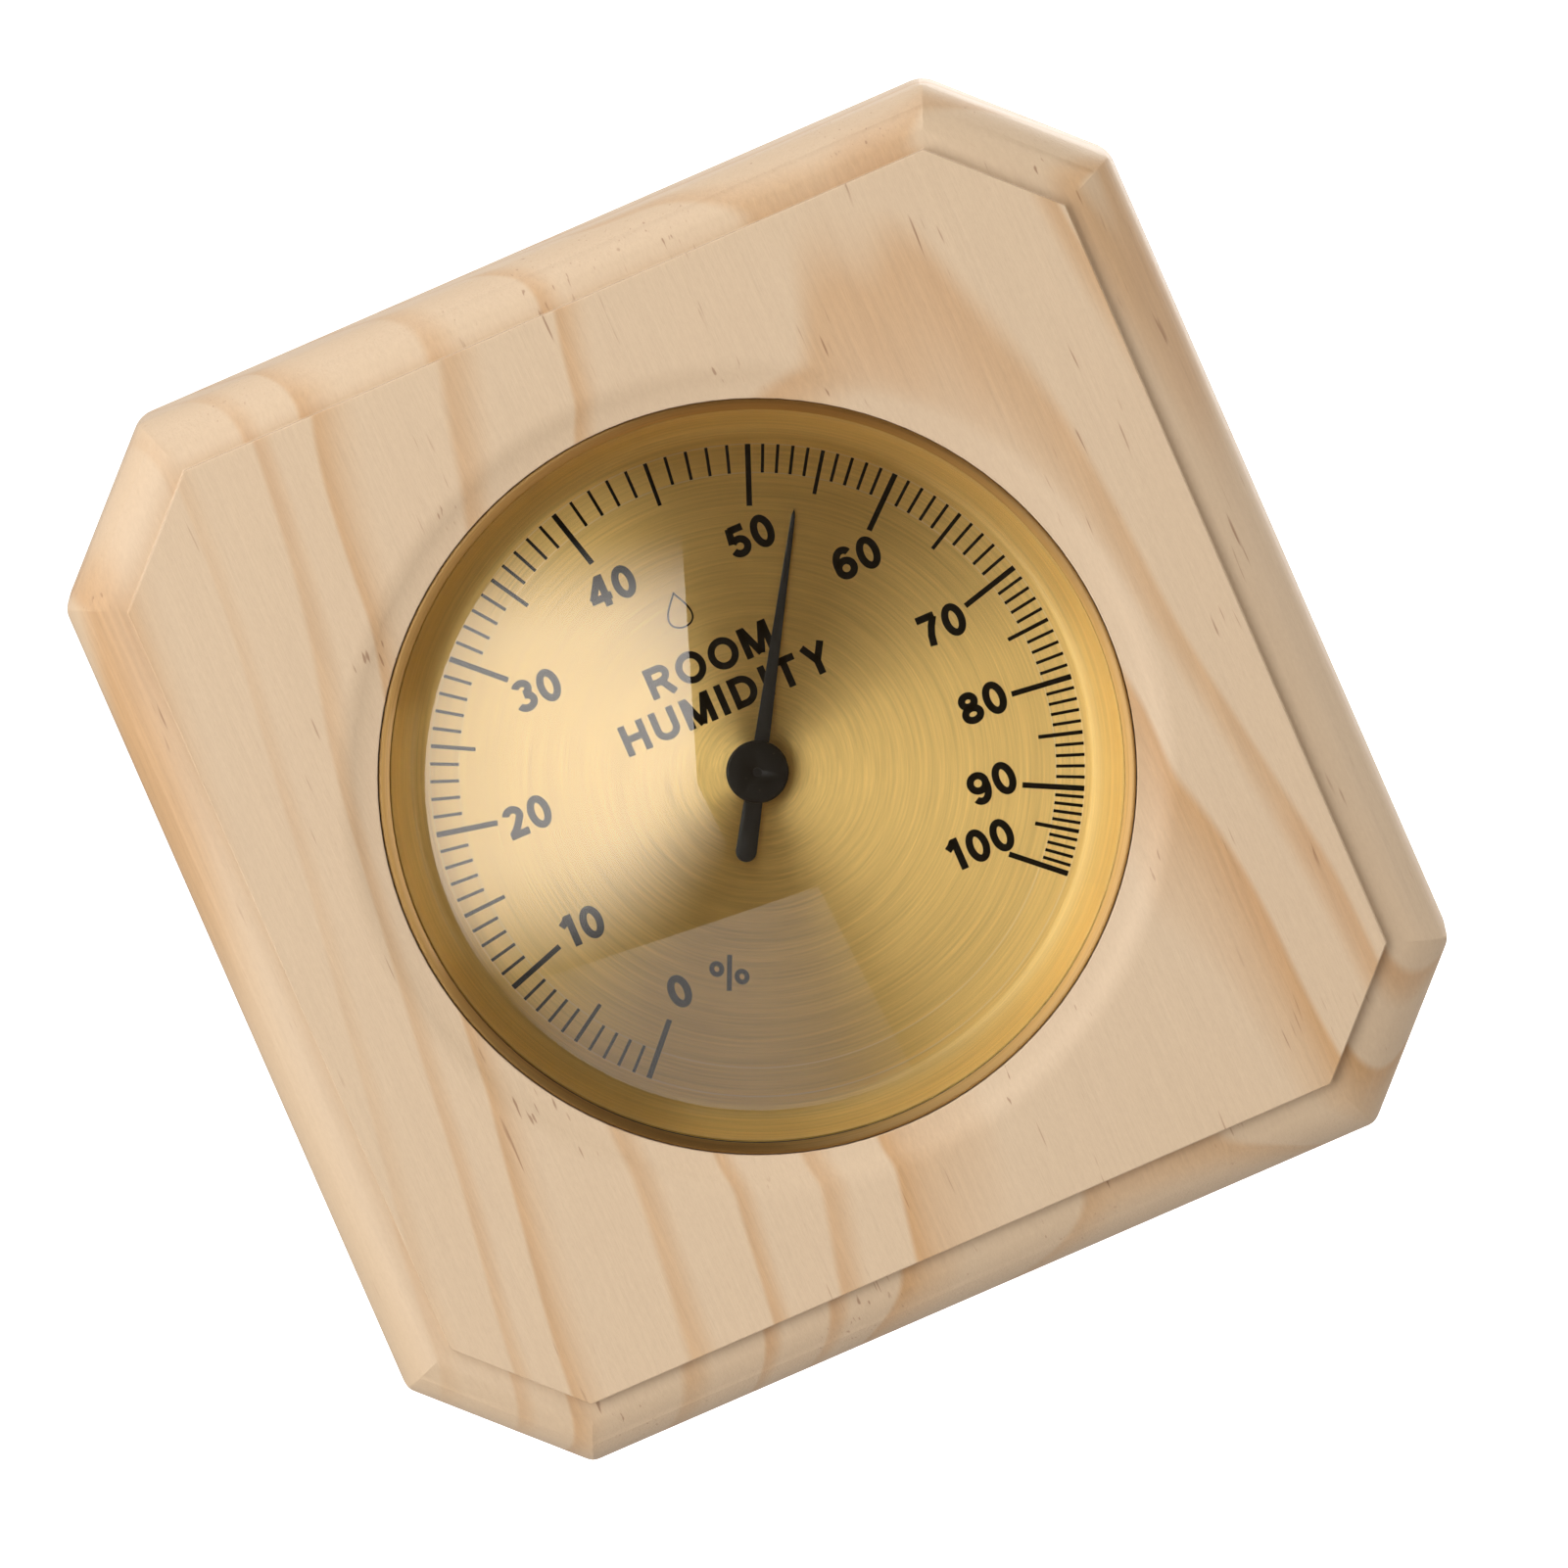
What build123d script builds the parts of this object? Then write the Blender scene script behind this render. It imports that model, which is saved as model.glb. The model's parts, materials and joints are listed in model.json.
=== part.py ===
"""Wall-hung dial hygrometer: a brass-faced humidity dial set in an octagonal pine board.

Frame: origin on the board's back plane, on the pointer's axis. +Z is up, the dial faces -Y.
All sizes are in millimetres. Depths are written as y values, from 0 at the wall to -24 in front.
"""
import os
from math import sqrt

from build123d import *

# ---------------------------------------------------------------- driving dimensions
# Board
BOARD_SIDE = 150.0          # across the flats
BOARD_DEPTH = 24.0          # back plane to raised panel
CORNER_LEG = 18.7           # cut off each corner, along each side
PANEL_STEP = 1.7            # height of the raised panel above the rounded edge
PANEL_INSET = 7.8           # side wall to the panel's edge
EDGE_ROUND = 7.6            # quarter-round along the front edge
BACK_ROUND = 2.5            # eased back edge
CORNER_ROUND = 4.0          # eased upright corners
WELL_RADIUS = 50.0          # hole that the instrument drops into from the front
WELL_FLOOR = -9.8           # ledge that carries the instrument
THROUGH_RADIUS = 45.8       # smaller hole behind the ledge
DISH_RADIUS = 54.3          # shallow dished ring around the hole
DISH_FOOT_RADIUS = 50.3
DISH_DEPTH = 1.2
DISH_SAG = 0.18             # how far the hollow dips below a straight slope
DISH_FALL = 0.2             # drop across the narrow ledge between hollow and well
RECESS_RADIUS = 56.0        # shallow recess in the back, for the clips
RECESS_FLOOR = -2.4

# Front stack: bezel, crystal, gasket, dial
BEZEL_OUTER = 49.85
BEZEL_WALL = 0.45
BEZEL_TOP = -22.3
LIP_RADIUS = 48.45
LIP_THICK = 0.35            # the lip's inner edge
LIP_RUN = 0.05
BEZEL_EDGE_DROP = 0.3       # broken outer corner
BEZEL_EDGE_RUN = 0.25
CRYSTAL_RADIUS = 49.3
CRYSTAL_FRONT = -21.25
CRYSTAL_BACK = -19.75
GASKET_BACK = -19.15
GASKET_INNER = 48.5
DIAL_FRONT = -11.0
DIAL_BACK = -10.5
DIAL_FLAT_RADIUS = 43.8     # flat part, that carries the scale
COVE_RADIUS = 48.3          # top of the dial's upturned rim
RIM_WALL = 0.45             # thickness of the upturned rim
FLANGE_BACK = -18.7

# Case
CASE_OUTER = 49.35
CASE_WALL = 0.4
CASE_REAR_OUTER = 45.4
CASE_REAR_INNER = 44.9
CASE_REAR = -3.0
CASE_STEP_FRONT = -10.4
COVER_RADIUS = 45.3
LUG_INNER = 41.0
LUG_FRONT = -5.5
LUG_WIDTH = 8.0
COVER_SCREW_CIRCLE = 42.9
ADJUSTER_HOLE = 3.5         # screwdriver hole in the middle of the cover
VENT_RADIUS = 1.6
VENT_ROWS = ((14.0, 12), (24.0, 20), (34.0, 28))    # circle radius, number of holes
CLIP_THICK = 0.8
CLIP_INNER = 42.0
CLIP_OUTER = 54.5
CLIP_WIDTH = 9.0
CLIP_CORNER = 2.0
CLIP_SCREW_CIRCLE = 51.2

# Hanger
HANGER_RECESS = -2.2
HANGER_BACK = -1.2
HANGER_Z = 65.0
HANGER_WIDTH = 34.0
HANGER_HEIGHT = 13.4
KEYHOLE_Z = 63.5
KEYHOLE_RADIUS = 4.0
SLOT_RADIUS = 2.0
SLOT_TOP_Z = 68.4
HANGER_CORNER = 2.0
HANGER_SCREW_X = 13.0
POCKET_DEPTH = 6.0          # pocket in the board for the head of the wall screw
POCKET_RADIUS = 4.8
POCKET_SLOT = 4.5

# Screws, all slotted
HANGER_SCREW = dict(head_radius=2.3, head_height=0.9, shank_radius=1.2, length=9.0, slot=0.6, tip=2.5)
CLIP_SCREW = dict(head_radius=2.8, head_height=1.2, shank_radius=1.45, length=7.3, slot=0.7, tip=2.0)
COVER_SCREW = dict(head_radius=1.9, head_height=1.1, shank_radius=1.0, length=2.9)
BRIDGE_SCREW = dict(head_radius=1.5, head_height=0.8, shank_radius=0.7, length=3.9, slot=0.35)
HEAD_ROUNDING = 0.45        # as a part of the head's height
SLOT_DEPTH = 0.5            # as a part of the head's height
POINT_RADIUS = 0.15         # blunt end of a wood screw
SCREW_CLEARANCE = 0.15      # hole radius over shank radius
HANGER_PILOT = 8.0          # depth of the pilot holes in the board
CLIP_PILOT = 6.5

# Movement
PLATE_RADIUS = 26.0
PLATE_BACK = -9.7
LIGHTENING_RADIUS = 5.0
LIGHTENING_CIRCLE = 14.5
FOOT_RADIUS = 0.75
FOOT_CIRCLE = 21.0
FOOT_RIVET = 0.4            # how far a foot stands out of the plate, to be riveted
FEET_ANGLES = (0.0, 180.0)
PILLAR_CIRCLE = 22.0
PILLAR_RADIUS = 1.75
PILLAR_TAPPING = 3.4        # depth of the tapped hole
BRIDGE_BOSS = 6.5
BRIDGE_ARM_WIDTH = 5.0
BRIDGE_PAD = 3.4
BRIDGE_FRONT = -5.1
BRIDGE_BACK = -4.3
ARBOR_RADIUS = 0.6
PIVOT_RADIUS = 0.35
PIVOT_END = -4.6
BEARING_CLEARANCE = 0.04
BUSH_RADIUS = 2.0
BUSH_FLANGE = 0.5
BUSH_FLANGE_RADIUS = 3.2
COIL_FRONT = -9.3
COIL_BACK = -6.5
COIL_STRIP = 0.25
COIL_PITCH = 1.6
COIL_TURNS = 8
COIL_START = 2.2
COIL_TAB = 0.3              # thickness of the bent-in inner end
COLLET_RADIUS = 1.8
COLLET_SHOULDER = 0.1       # how far collet and arbor stand out beyond the coil
ARM_FRONT = -6.2
ARM_BACK = -5.7
ARM_EYE = 3.6
ARM_TIP = 1.8
ARM_WIDTH = 3.0
ARM_ANGLE = -90.0           # the arm hangs straight down at rest
STUD_RADIUS = 1.95
STUD_END = -2.6
STUD_CLEARANCE = 0.05
STUD_SHOULDER = 3.4
STUD_NOSE = 2.2
STUD_SLOT = 0.7             # width and depth of the screwdriver slot
STUD_BEARING_END = -4.5     # bottom of the hole for the arbor's rear pivot
GROOVE_RADIUS = 1.5
GROOVE_BACK = -3.5
GROOVE_FRONT = -3.9
SPRING_CLIP_RADIUS = 3.1
SPRING_CLIP_GAP = 2.4
SPRING_CLIP_ANGLE = 120.0
SPRING_WASHER_RADIUS = 3.5
POST_RADIUS = 0.9

# Pointer
POINTER_ANGLE = 31.5        # clockwise from straight up, seen from the front
POINTER_LENGTH = 35.1
TAIL_LENGTH = 12.1
BLADE_ROOT = 1.1            # half widths
BLADE_TIP = 0.28
TAIL_ROOT = 1.15
TAIL_END = 1.4
TIP_TAPER = 1.0             # length of the point
BLADE_EYE = 3.0
BLADE_BACK = -12.5
BLADE_FRONT = -12.9
HUB_RADIUS = 4.15
HUB_FRONT = -14.1
HUB_ROUND = 0.35
ARBOR_TIP = -14.25

FRONT = -BOARD_DEPTH
CUT_PAST = 1.0              # how far a cutter runs beyond the surface it opens
THIRDS_UP = (90.0, 210.0, 330.0)
THIRDS_DOWN = (30.0, 150.0, 270.0)


# ---------------------------------------------------------------- helpers
def disc(radius, back, front, x=0.0, z=0.0):
    """A cylinder along Y, from y=back to y=front."""
    return Pos(x, (back + front) / 2, z) * Rot(90, 0, 0) * Cylinder(radius, back - front)


def bore(radius, back, front, x=0.0, z=0.0):
    """A cutter for a round hole right through, from y=back to y=front."""
    return disc(radius, back + CUT_PAST, front - CUT_PAST, x, z)


def ring(outer, inner, back, front):
    """A flat ring or a tube along Y."""
    return disc(outer, back, front) - bore(inner, back, front)


def block(width, height, back, front, x=0.0, z=0.0):
    """A box given by its width, height and its two depths."""
    return Pos(x, (back + front) / 2, z) * Box(width, back - front, height)


def slab(face, back, front):
    """A flat outline in X and Z, given thickness along Y."""
    placed = Pos(0, back, 0) * (Plane.XZ * face)
    return extrude(placed, amount=back - front)


def turned(points):
    """A solid of revolution about Y, from (radius, y) corners."""
    return revolve(make_face(Polyline(*points, close=True)), Axis.Y, 360)


def about_axis(shape, angle):
    """Turn a shape about the pointer's axis, from +X towards +Z."""
    return Rot(0, -angle, 0) * shape


def octagon(side, leg):
    """A square outline with its corners cut off."""
    half = side / 2
    near = half - leg
    corners = [(near, half), (half, near), (half, -near), (near, -half)]
    corners += [(-x, z) for x, z in reversed(corners)]
    return make_face(Polyline(*corners, close=True))


def screw(head_radius, head_height, shank_radius, length, slot=0.5, tip=0.0):
    """A slotted screw with its head's underside at y=0, its shank towards -Y."""
    body = disc(head_radius, head_height, 0)
    edge = body.edges().sort_by(Axis.Y)[-1]
    body = fillet(edge, head_height * HEAD_ROUNDING)
    body += disc(shank_radius, 0, -(length - tip))
    if tip:
        point = Pos(0, -length + tip / 2, 0) * Rot(90, 0, 0) * Cone(shank_radius, POINT_RADIUS, tip)
        body += point
    reach = 2 * head_radius + CUT_PAST
    return body - block(reach, slot, head_height + CUT_PAST, head_height * (1 - SLOT_DEPTH))


def clearance(screw_size):
    """Radius of the hole that a screw passes through freely."""
    return screw_size["shank_radius"] + SCREW_CLEARANCE


def around(shape, radius, angles, y):
    """Copies of a shape, moved out to a circle at each angle, kept as separate solids."""
    return [about_axis(Pos(radius, y, 0) * shape, a) for a in angles]


def save(name, shape):
    """Write one sub-part. A list is a group of separate solids."""
    solids = shape if isinstance(shape, list) else [shape]
    parts = [s for item in solids for s in item.solids()]
    export_step(parts[0] if len(parts) == 1 else Compound(children=parts), f"parts/{name}.step")


# ---------------------------------------------------------------- board and hanger
def wood_board():
    """Octagonal board: raised panel, quarter-round edge, stepped well and back recesses."""
    base_front = FRONT + PANEL_STEP
    base = slab(octagon(BOARD_SIDE, CORNER_LEG), 0, base_front)
    base = fillet(base.edges().filter_by_position(Axis.Y, base_front, base_front), EDGE_ROUND)
    envelope = slab(octagon(BOARD_SIDE, CORNER_LEG), 0, base_front)
    envelope = fillet(envelope.edges().filter_by(Axis.Y), CORNER_ROUND)
    envelope = fillet(envelope.edges().filter_by_position(Axis.Y, 0, 0), BACK_ROUND)
    board = base & envelope

    # the panel's sides stand inside the board's, so its corner cut shrinks by the same inset
    panel_leg = CORNER_LEG - PANEL_INSET * (2 - sqrt(2))
    board += slab(octagon(BOARD_SIDE - 2 * PANEL_INSET, panel_leg), base_front, FRONT)

    board -= disc(WELL_RADIUS, WELL_FLOOR, FRONT - CUT_PAST)
    board -= disc(THROUGH_RADIUS, CUT_PAST, FRONT)
    board -= disc(RECESS_RADIUS, CUT_PAST, RECESS_FLOOR)
    board -= dished_ring()

    board -= block(HANGER_WIDTH, HANGER_HEIGHT, CUT_PAST, HANGER_RECESS, z=HANGER_Z)
    board -= keyhole(POCKET_RADIUS, POCKET_SLOT, HANGER_RECESS + CUT_PAST, HANGER_RECESS - POCKET_DEPTH)
    for x in (-HANGER_SCREW_X, HANGER_SCREW_X):
        board -= disc(HANGER_SCREW["shank_radius"], HANGER_RECESS + CUT_PAST, HANGER_RECESS - HANGER_PILOT,
                      x=x, z=HANGER_Z)
    pilot = disc(CLIP_SCREW["shank_radius"], CUT_PAST, -CLIP_PILOT)
    for hole in around(pilot, CLIP_SCREW_CIRCLE, THIRDS_UP, RECESS_FLOOR):
        board -= hole
    return board


def dished_ring():
    """The shallow hollow turned into the panel around the well."""
    foot = FRONT + DISH_DEPTH
    middle = ((DISH_RADIUS + DISH_FOOT_RADIUS) / 2, FRONT + DISH_DEPTH / 2 + DISH_SAG)
    inner, above = WELL_RADIUS - CUT_PAST, FRONT - CUT_PAST
    outline = [
        ThreePointArc((DISH_RADIUS, FRONT), middle, (DISH_FOOT_RADIUS, foot)),
        Polyline((DISH_FOOT_RADIUS, foot), (inner, foot + DISH_FALL), (inner, above)),
        Polyline((inner, above), (DISH_RADIUS, above), (DISH_RADIUS, FRONT)),
    ]
    return revolve(make_face(outline), Axis.Y, 360)


def keyhole(hole, slot, back, front):
    """A round hole with a narrower slot running up from it."""
    shape = disc(hole, back, front, z=KEYHOLE_Z) + disc(slot, back, front, z=SLOT_TOP_Z)
    middle = (KEYHOLE_Z + SLOT_TOP_Z) / 2
    return shape + block(2 * slot, SLOT_TOP_Z - KEYHOLE_Z, back, front, z=middle)


def hanger_plate():
    """Keyhole plate, let into the back of the board."""
    plate = block(HANGER_WIDTH, HANGER_HEIGHT, HANGER_BACK, HANGER_RECESS, z=HANGER_Z)
    plate = fillet(plate.edges().filter_by(Axis.Y), HANGER_CORNER)
    plate -= keyhole(KEYHOLE_RADIUS, SLOT_RADIUS, HANGER_BACK + CUT_PAST, HANGER_RECESS - CUT_PAST)
    for x in (-HANGER_SCREW_X, HANGER_SCREW_X):
        plate -= bore(clearance(HANGER_SCREW), HANGER_BACK, HANGER_RECESS, x=x, z=HANGER_Z)
    return plate


def hanger_screws():
    """Two wood screws through the keyhole plate."""
    one = screw(**HANGER_SCREW)
    return [Pos(x, HANGER_BACK, HANGER_Z) * one for x in (-HANGER_SCREW_X, HANGER_SCREW_X)]


# ---------------------------------------------------------------- case and front
def bezel_ring():
    """Thin turned ring with a sloping lip that holds the crystal down."""
    inner = BEZEL_OUTER - BEZEL_WALL
    return turned([
        (inner, WELL_FLOOR), (BEZEL_OUTER, WELL_FLOOR), (BEZEL_OUTER, BEZEL_TOP + BEZEL_EDGE_DROP),
        (BEZEL_OUTER - BEZEL_EDGE_RUN, BEZEL_TOP), (LIP_RADIUS + LIP_RUN, CRYSTAL_FRONT - LIP_THICK),
        (LIP_RADIUS, CRYSTAL_FRONT), (inner, CRYSTAL_FRONT),
    ])


def dial_pan():
    """Pressed dial: a flat face with a concave rim that curves up to meet the gasket."""
    rim_outer = COVE_RADIUS + RIM_WALL
    cove_front = EllipticalCenterArc(
        (DIAL_FLAT_RADIUS, GASKET_BACK), COVE_RADIUS - DIAL_FLAT_RADIUS, DIAL_FRONT - GASKET_BACK,
        start_angle=0, arc_size=90)
    cove_back = EllipticalCenterArc(
        (DIAL_FLAT_RADIUS, FLANGE_BACK), rim_outer - DIAL_FLAT_RADIUS, DIAL_BACK - FLANGE_BACK,
        start_angle=0, arc_size=90)
    outline = [
        cove_front,
        Polyline((DIAL_FLAT_RADIUS, DIAL_FRONT), (BUSH_RADIUS, DIAL_FRONT), (BUSH_RADIUS, DIAL_BACK)),
        Line((BUSH_RADIUS, DIAL_BACK), (DIAL_FLAT_RADIUS, DIAL_BACK)),
        cove_back,
        Polyline((rim_outer, FLANGE_BACK), (CRYSTAL_RADIUS, FLANGE_BACK), (CRYSTAL_RADIUS, GASKET_BACK)),
        Line((CRYSTAL_RADIUS, GASKET_BACK), (COVE_RADIUS, GASKET_BACK)),
    ]
    return revolve(make_face(outline), Axis.Y, 360)


def case_body():
    """Drawn steel can with a step that rests on the board's ledge."""
    inner = CASE_OUTER - CASE_WALL
    return turned([
        (CASE_OUTER, FLANGE_BACK), (CASE_OUTER, WELL_FLOOR), (CASE_REAR_OUTER, WELL_FLOOR),
        (CASE_REAR_OUTER, CASE_REAR), (CASE_REAR_INNER, CASE_REAR),
        (CASE_REAR_INNER, CASE_STEP_FRONT), (inner, CASE_STEP_FRONT), (inner, FLANGE_BACK),
    ])


def cover_lugs():
    """Three blocks inside the can, tapped for the cover's screws."""
    wall = disc(CASE_REAR_INNER, CASE_REAR, LUG_FRONT)
    depth = CASE_REAR_INNER - LUG_INNER
    blank = block(2 * depth, LUG_WIDTH, CASE_REAR, LUG_FRONT, x=LUG_INNER + depth)
    lug = blank & wall
    lug -= bore(COVER_SCREW["shank_radius"], CASE_REAR, LUG_FRONT, x=COVER_SCREW_CIRCLE)
    return [about_axis(lug, a) for a in THIRDS_DOWN]


def back_cover():
    """Vented disc: room air reaches the coil through its rings of holes."""
    cover = disc(COVER_RADIUS, RECESS_FLOOR, CASE_REAR)
    cover -= bore(ADJUSTER_HOLE, RECESS_FLOOR, CASE_REAR)
    for radius, count in VENT_ROWS:
        vent = bore(VENT_RADIUS, RECESS_FLOOR, CASE_REAR, x=radius)
        for i in range(count):
            cover -= about_axis(vent, i * 360 / count)
    screw_hole = bore(clearance(COVER_SCREW), RECESS_FLOOR, CASE_REAR, x=COVER_SCREW_CIRCLE)
    for angle in THIRDS_DOWN:
        cover -= about_axis(screw_hole, angle)
    return cover


def cover_screws():
    """Three short screws that hold the cover on its lugs."""
    return around(screw(**COVER_SCREW), COVER_SCREW_CIRCLE, THIRDS_DOWN, RECESS_FLOOR)


def case_clips():
    """Three flat straps that hold the case back against the board's ledge."""
    length = CLIP_OUTER - CLIP_INNER
    back = RECESS_FLOOR + CLIP_THICK
    strap = block(length, CLIP_WIDTH, back, RECESS_FLOOR, x=CLIP_INNER + length / 2)
    strap = fillet(strap.edges().filter_by(Axis.Y), CLIP_CORNER)
    strap -= bore(clearance(CLIP_SCREW), back, RECESS_FLOOR, x=CLIP_SCREW_CIRCLE)
    return [about_axis(strap, a) for a in THIRDS_UP]


def clip_screws():
    """Three wood screws that hold the straps."""
    return around(screw(**CLIP_SCREW), CLIP_SCREW_CIRCLE, THIRDS_UP, RECESS_FLOOR + CLIP_THICK)


# ---------------------------------------------------------------- movement
def movement_plate():
    """Front plate, behind the dial: carries the pillars and the front bush."""
    plate = disc(PLATE_RADIUS, PLATE_BACK, DIAL_BACK)
    plate -= bore(BUSH_RADIUS, PLATE_BACK, DIAL_BACK)
    lightening = bore(LIGHTENING_RADIUS, PLATE_BACK, DIAL_BACK, x=LIGHTENING_CIRCLE)
    for angle in THIRDS_DOWN:
        plate -= about_axis(lightening, angle)
    foot_hole = bore(FOOT_RADIUS, PLATE_BACK, DIAL_BACK, x=FOOT_CIRCLE)
    for angle in FEET_ANGLES:
        plate -= about_axis(foot_hole, angle)
    return plate


def dial_feet():
    """Two studs behind the dial, riveted through the plate so that the movement can't turn."""
    return around(disc(FOOT_RADIUS, PLATE_BACK + FOOT_RIVET, DIAL_BACK), FOOT_CIRCLE, FEET_ANGLES, 0)


def front_bush():
    """Flanged brass bush that the arbor runs in, swaged through dial and plate."""
    flange_front = DIAL_FRONT - BUSH_FLANGE
    bush = disc(BUSH_RADIUS, PLATE_BACK, DIAL_FRONT) + disc(BUSH_FLANGE_RADIUS, DIAL_FRONT, flange_front)
    return bush - bore(ARBOR_RADIUS + BEARING_CLEARANCE, PLATE_BACK, flange_front)


def movement_pillars():
    """Three tapped pillars between plate and bridge."""
    pillar = disc(PILLAR_RADIUS, BRIDGE_FRONT, PLATE_BACK)
    pillar -= disc(BRIDGE_SCREW["shank_radius"], BRIDGE_FRONT + CUT_PAST, BRIDGE_FRONT - PILLAR_TAPPING)
    return around(pillar, PILLAR_CIRCLE, THIRDS_UP, 0)


def rear_bridge():
    """Three-armed bridge on the pillars, bored for the adjuster."""
    bridge = disc(BRIDGE_BOSS, BRIDGE_BACK, BRIDGE_FRONT)
    arm = block(PILLAR_CIRCLE, BRIDGE_ARM_WIDTH, BRIDGE_BACK, BRIDGE_FRONT, x=PILLAR_CIRCLE / 2)
    arm += disc(BRIDGE_PAD, BRIDGE_BACK, BRIDGE_FRONT, x=PILLAR_CIRCLE)
    arm -= bore(clearance(BRIDGE_SCREW), BRIDGE_BACK, BRIDGE_FRONT, x=PILLAR_CIRCLE)
    for angle in THIRDS_UP:
        bridge += about_axis(arm, angle)
    return bridge - bore(STUD_RADIUS + STUD_CLEARANCE, BRIDGE_BACK, BRIDGE_FRONT)


def bridge_screws():
    """Three screws into the pillars."""
    return around(screw(**BRIDGE_SCREW), PILLAR_CIRCLE, THIRDS_UP, BRIDGE_BACK)


def adjuster_stud():
    """Slotted stud, turned from the back to set the reading; its nose is the arbor's rear bearing."""
    stud = disc(STUD_RADIUS, STUD_END, BRIDGE_FRONT)
    stud += disc(STUD_SHOULDER, BRIDGE_FRONT, ARM_BACK) + disc(STUD_NOSE, ARM_BACK, ARM_FRONT)
    stud -= ring(STUD_RADIUS + CUT_PAST, GROOVE_RADIUS, GROOVE_BACK, GROOVE_FRONT)
    stud -= block(2 * STUD_RADIUS + CUT_PAST, STUD_SLOT, STUD_END + CUT_PAST, STUD_END - STUD_SLOT)
    return stud - disc(PIVOT_RADIUS + BEARING_CLEARANCE, STUD_BEARING_END, ARM_FRONT - CUT_PAST)


def adjuster_arm():
    """Lever pressed on the stud; it carries the coil's outer end."""
    reach = coil_end() + POST_RADIUS
    arm = disc(ARM_EYE, ARM_BACK, ARM_FRONT) + disc(ARM_TIP, ARM_BACK, ARM_FRONT, x=reach)
    arm += block(reach, ARM_WIDTH, ARM_BACK, ARM_FRONT, x=reach / 2)
    arm -= bore(STUD_NOSE, ARM_BACK, ARM_FRONT)
    return about_axis(arm, ARM_ANGLE)


def adjuster_clip():
    """Spring clip in the stud's groove."""
    clip = ring(SPRING_CLIP_RADIUS, GROOVE_RADIUS, GROOVE_BACK, GROOVE_FRONT)
    reach = SPRING_CLIP_RADIUS + CUT_PAST
    clip -= block(reach, SPRING_CLIP_GAP, GROOVE_BACK + CUT_PAST, GROOVE_FRONT - CUT_PAST, x=reach / 2)
    return about_axis(clip, SPRING_CLIP_ANGLE)


def adjuster_spring_washer():
    """Washer between clip and bridge; its spring gives the stud its friction."""
    return ring(SPRING_WASHER_RADIUS, STUD_RADIUS + STUD_CLEARANCE, GROOVE_FRONT, BRIDGE_BACK)


def coil_end():
    """Radius of the coil's outer surface, where it meets its post."""
    return COIL_START + COIL_TURNS * COIL_PITCH + COIL_STRIP / 2


def coil_post():
    """Pin on the arm that holds the coil's outer end."""
    post = disc(POST_RADIUS, ARM_FRONT, COIL_FRONT, x=coil_end() + POST_RADIUS)
    return about_axis(post, ARM_ANGLE)


def humidity_coil():
    """Flat spiral of metal strip with a moisture-swelling layer, wound in half-turn arcs."""
    half = COIL_STRIP / 2
    inner, outer = [], []
    for k in range(2 * COIL_TURNS):
        centre = (0, 0) if k % 2 == 0 else (COIL_PITCH / 2, 0)
        radius = COIL_START + k * COIL_PITCH / 2
        start = 0 if k % 2 == 0 else 180
        inner.append(CenterArc(centre, radius - half, start, 180))
        outer.append(CenterArc(centre, radius + half, start, 180))
    last = COIL_START + COIL_TURNS * COIL_PITCH
    start_line = Line((COIL_START - half, 0), (COIL_START + half, 0))
    end_line = Line((last - half, 0), (last + half, 0))
    strip = slab(make_face([*inner, *outer, start_line, end_line]), COIL_BACK, COIL_FRONT)
    tab_length = COIL_START + half - COLLET_RADIUS
    tab = block(tab_length, COIL_TAB, COIL_BACK, COIL_FRONT, x=COLLET_RADIUS + tab_length / 2, z=COIL_TAB / 2)
    return about_axis(strip + tab, ARM_ANGLE)


def coil_collet():
    """Collar pressed on the arbor; the coil's inner end is fixed in it."""
    front = COIL_FRONT - COLLET_SHOULDER
    return ring(COLLET_RADIUS, ARBOR_RADIUS, COIL_BACK, front)


# ---------------------------------------------------------------- pointer
def pointer_arbor():
    """Turned steel arbor: pointer in front, collet behind the plate, fine rear pivot."""
    shaft = disc(ARBOR_RADIUS, COIL_BACK + COLLET_SHOULDER, ARBOR_TIP)
    return shaft + disc(PIVOT_RADIUS, PIVOT_END, COIL_BACK)


def pointer_blade():
    """Flat blade with a fine tip and a rounded counterweight tail, pointing up before it is turned."""
    shoulder = POINTER_LENGTH - TIP_TAPER
    blade = make_face(Polyline(
        (-BLADE_ROOT, 0), (-BLADE_TIP, shoulder), (0, POINTER_LENGTH),
        (BLADE_TIP, shoulder), (BLADE_ROOT, 0), close=True))
    tail_end = TAIL_LENGTH - TAIL_END
    tail = make_face(Polyline(
        (-TAIL_ROOT, 0), (TAIL_ROOT, 0), (TAIL_END, -tail_end), (-TAIL_END, -tail_end), close=True))
    outline = blade + tail + Pos(0, -tail_end) * Circle(TAIL_END) + Circle(BLADE_EYE)
    body = slab(outline, BLADE_BACK, BLADE_FRONT)
    body -= bore(ARBOR_RADIUS, BLADE_BACK, BLADE_FRONT)
    return about_axis(body, -POINTER_ANGLE)


def pointer_hub():
    """Round cap over the blade."""
    hub = disc(HUB_RADIUS, BLADE_FRONT, HUB_FRONT)
    hub = fillet(hub.edges().sort_by(Axis.Y)[0], HUB_ROUND)
    return hub - bore(ARBOR_RADIUS, BLADE_FRONT, HUB_FRONT)


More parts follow.
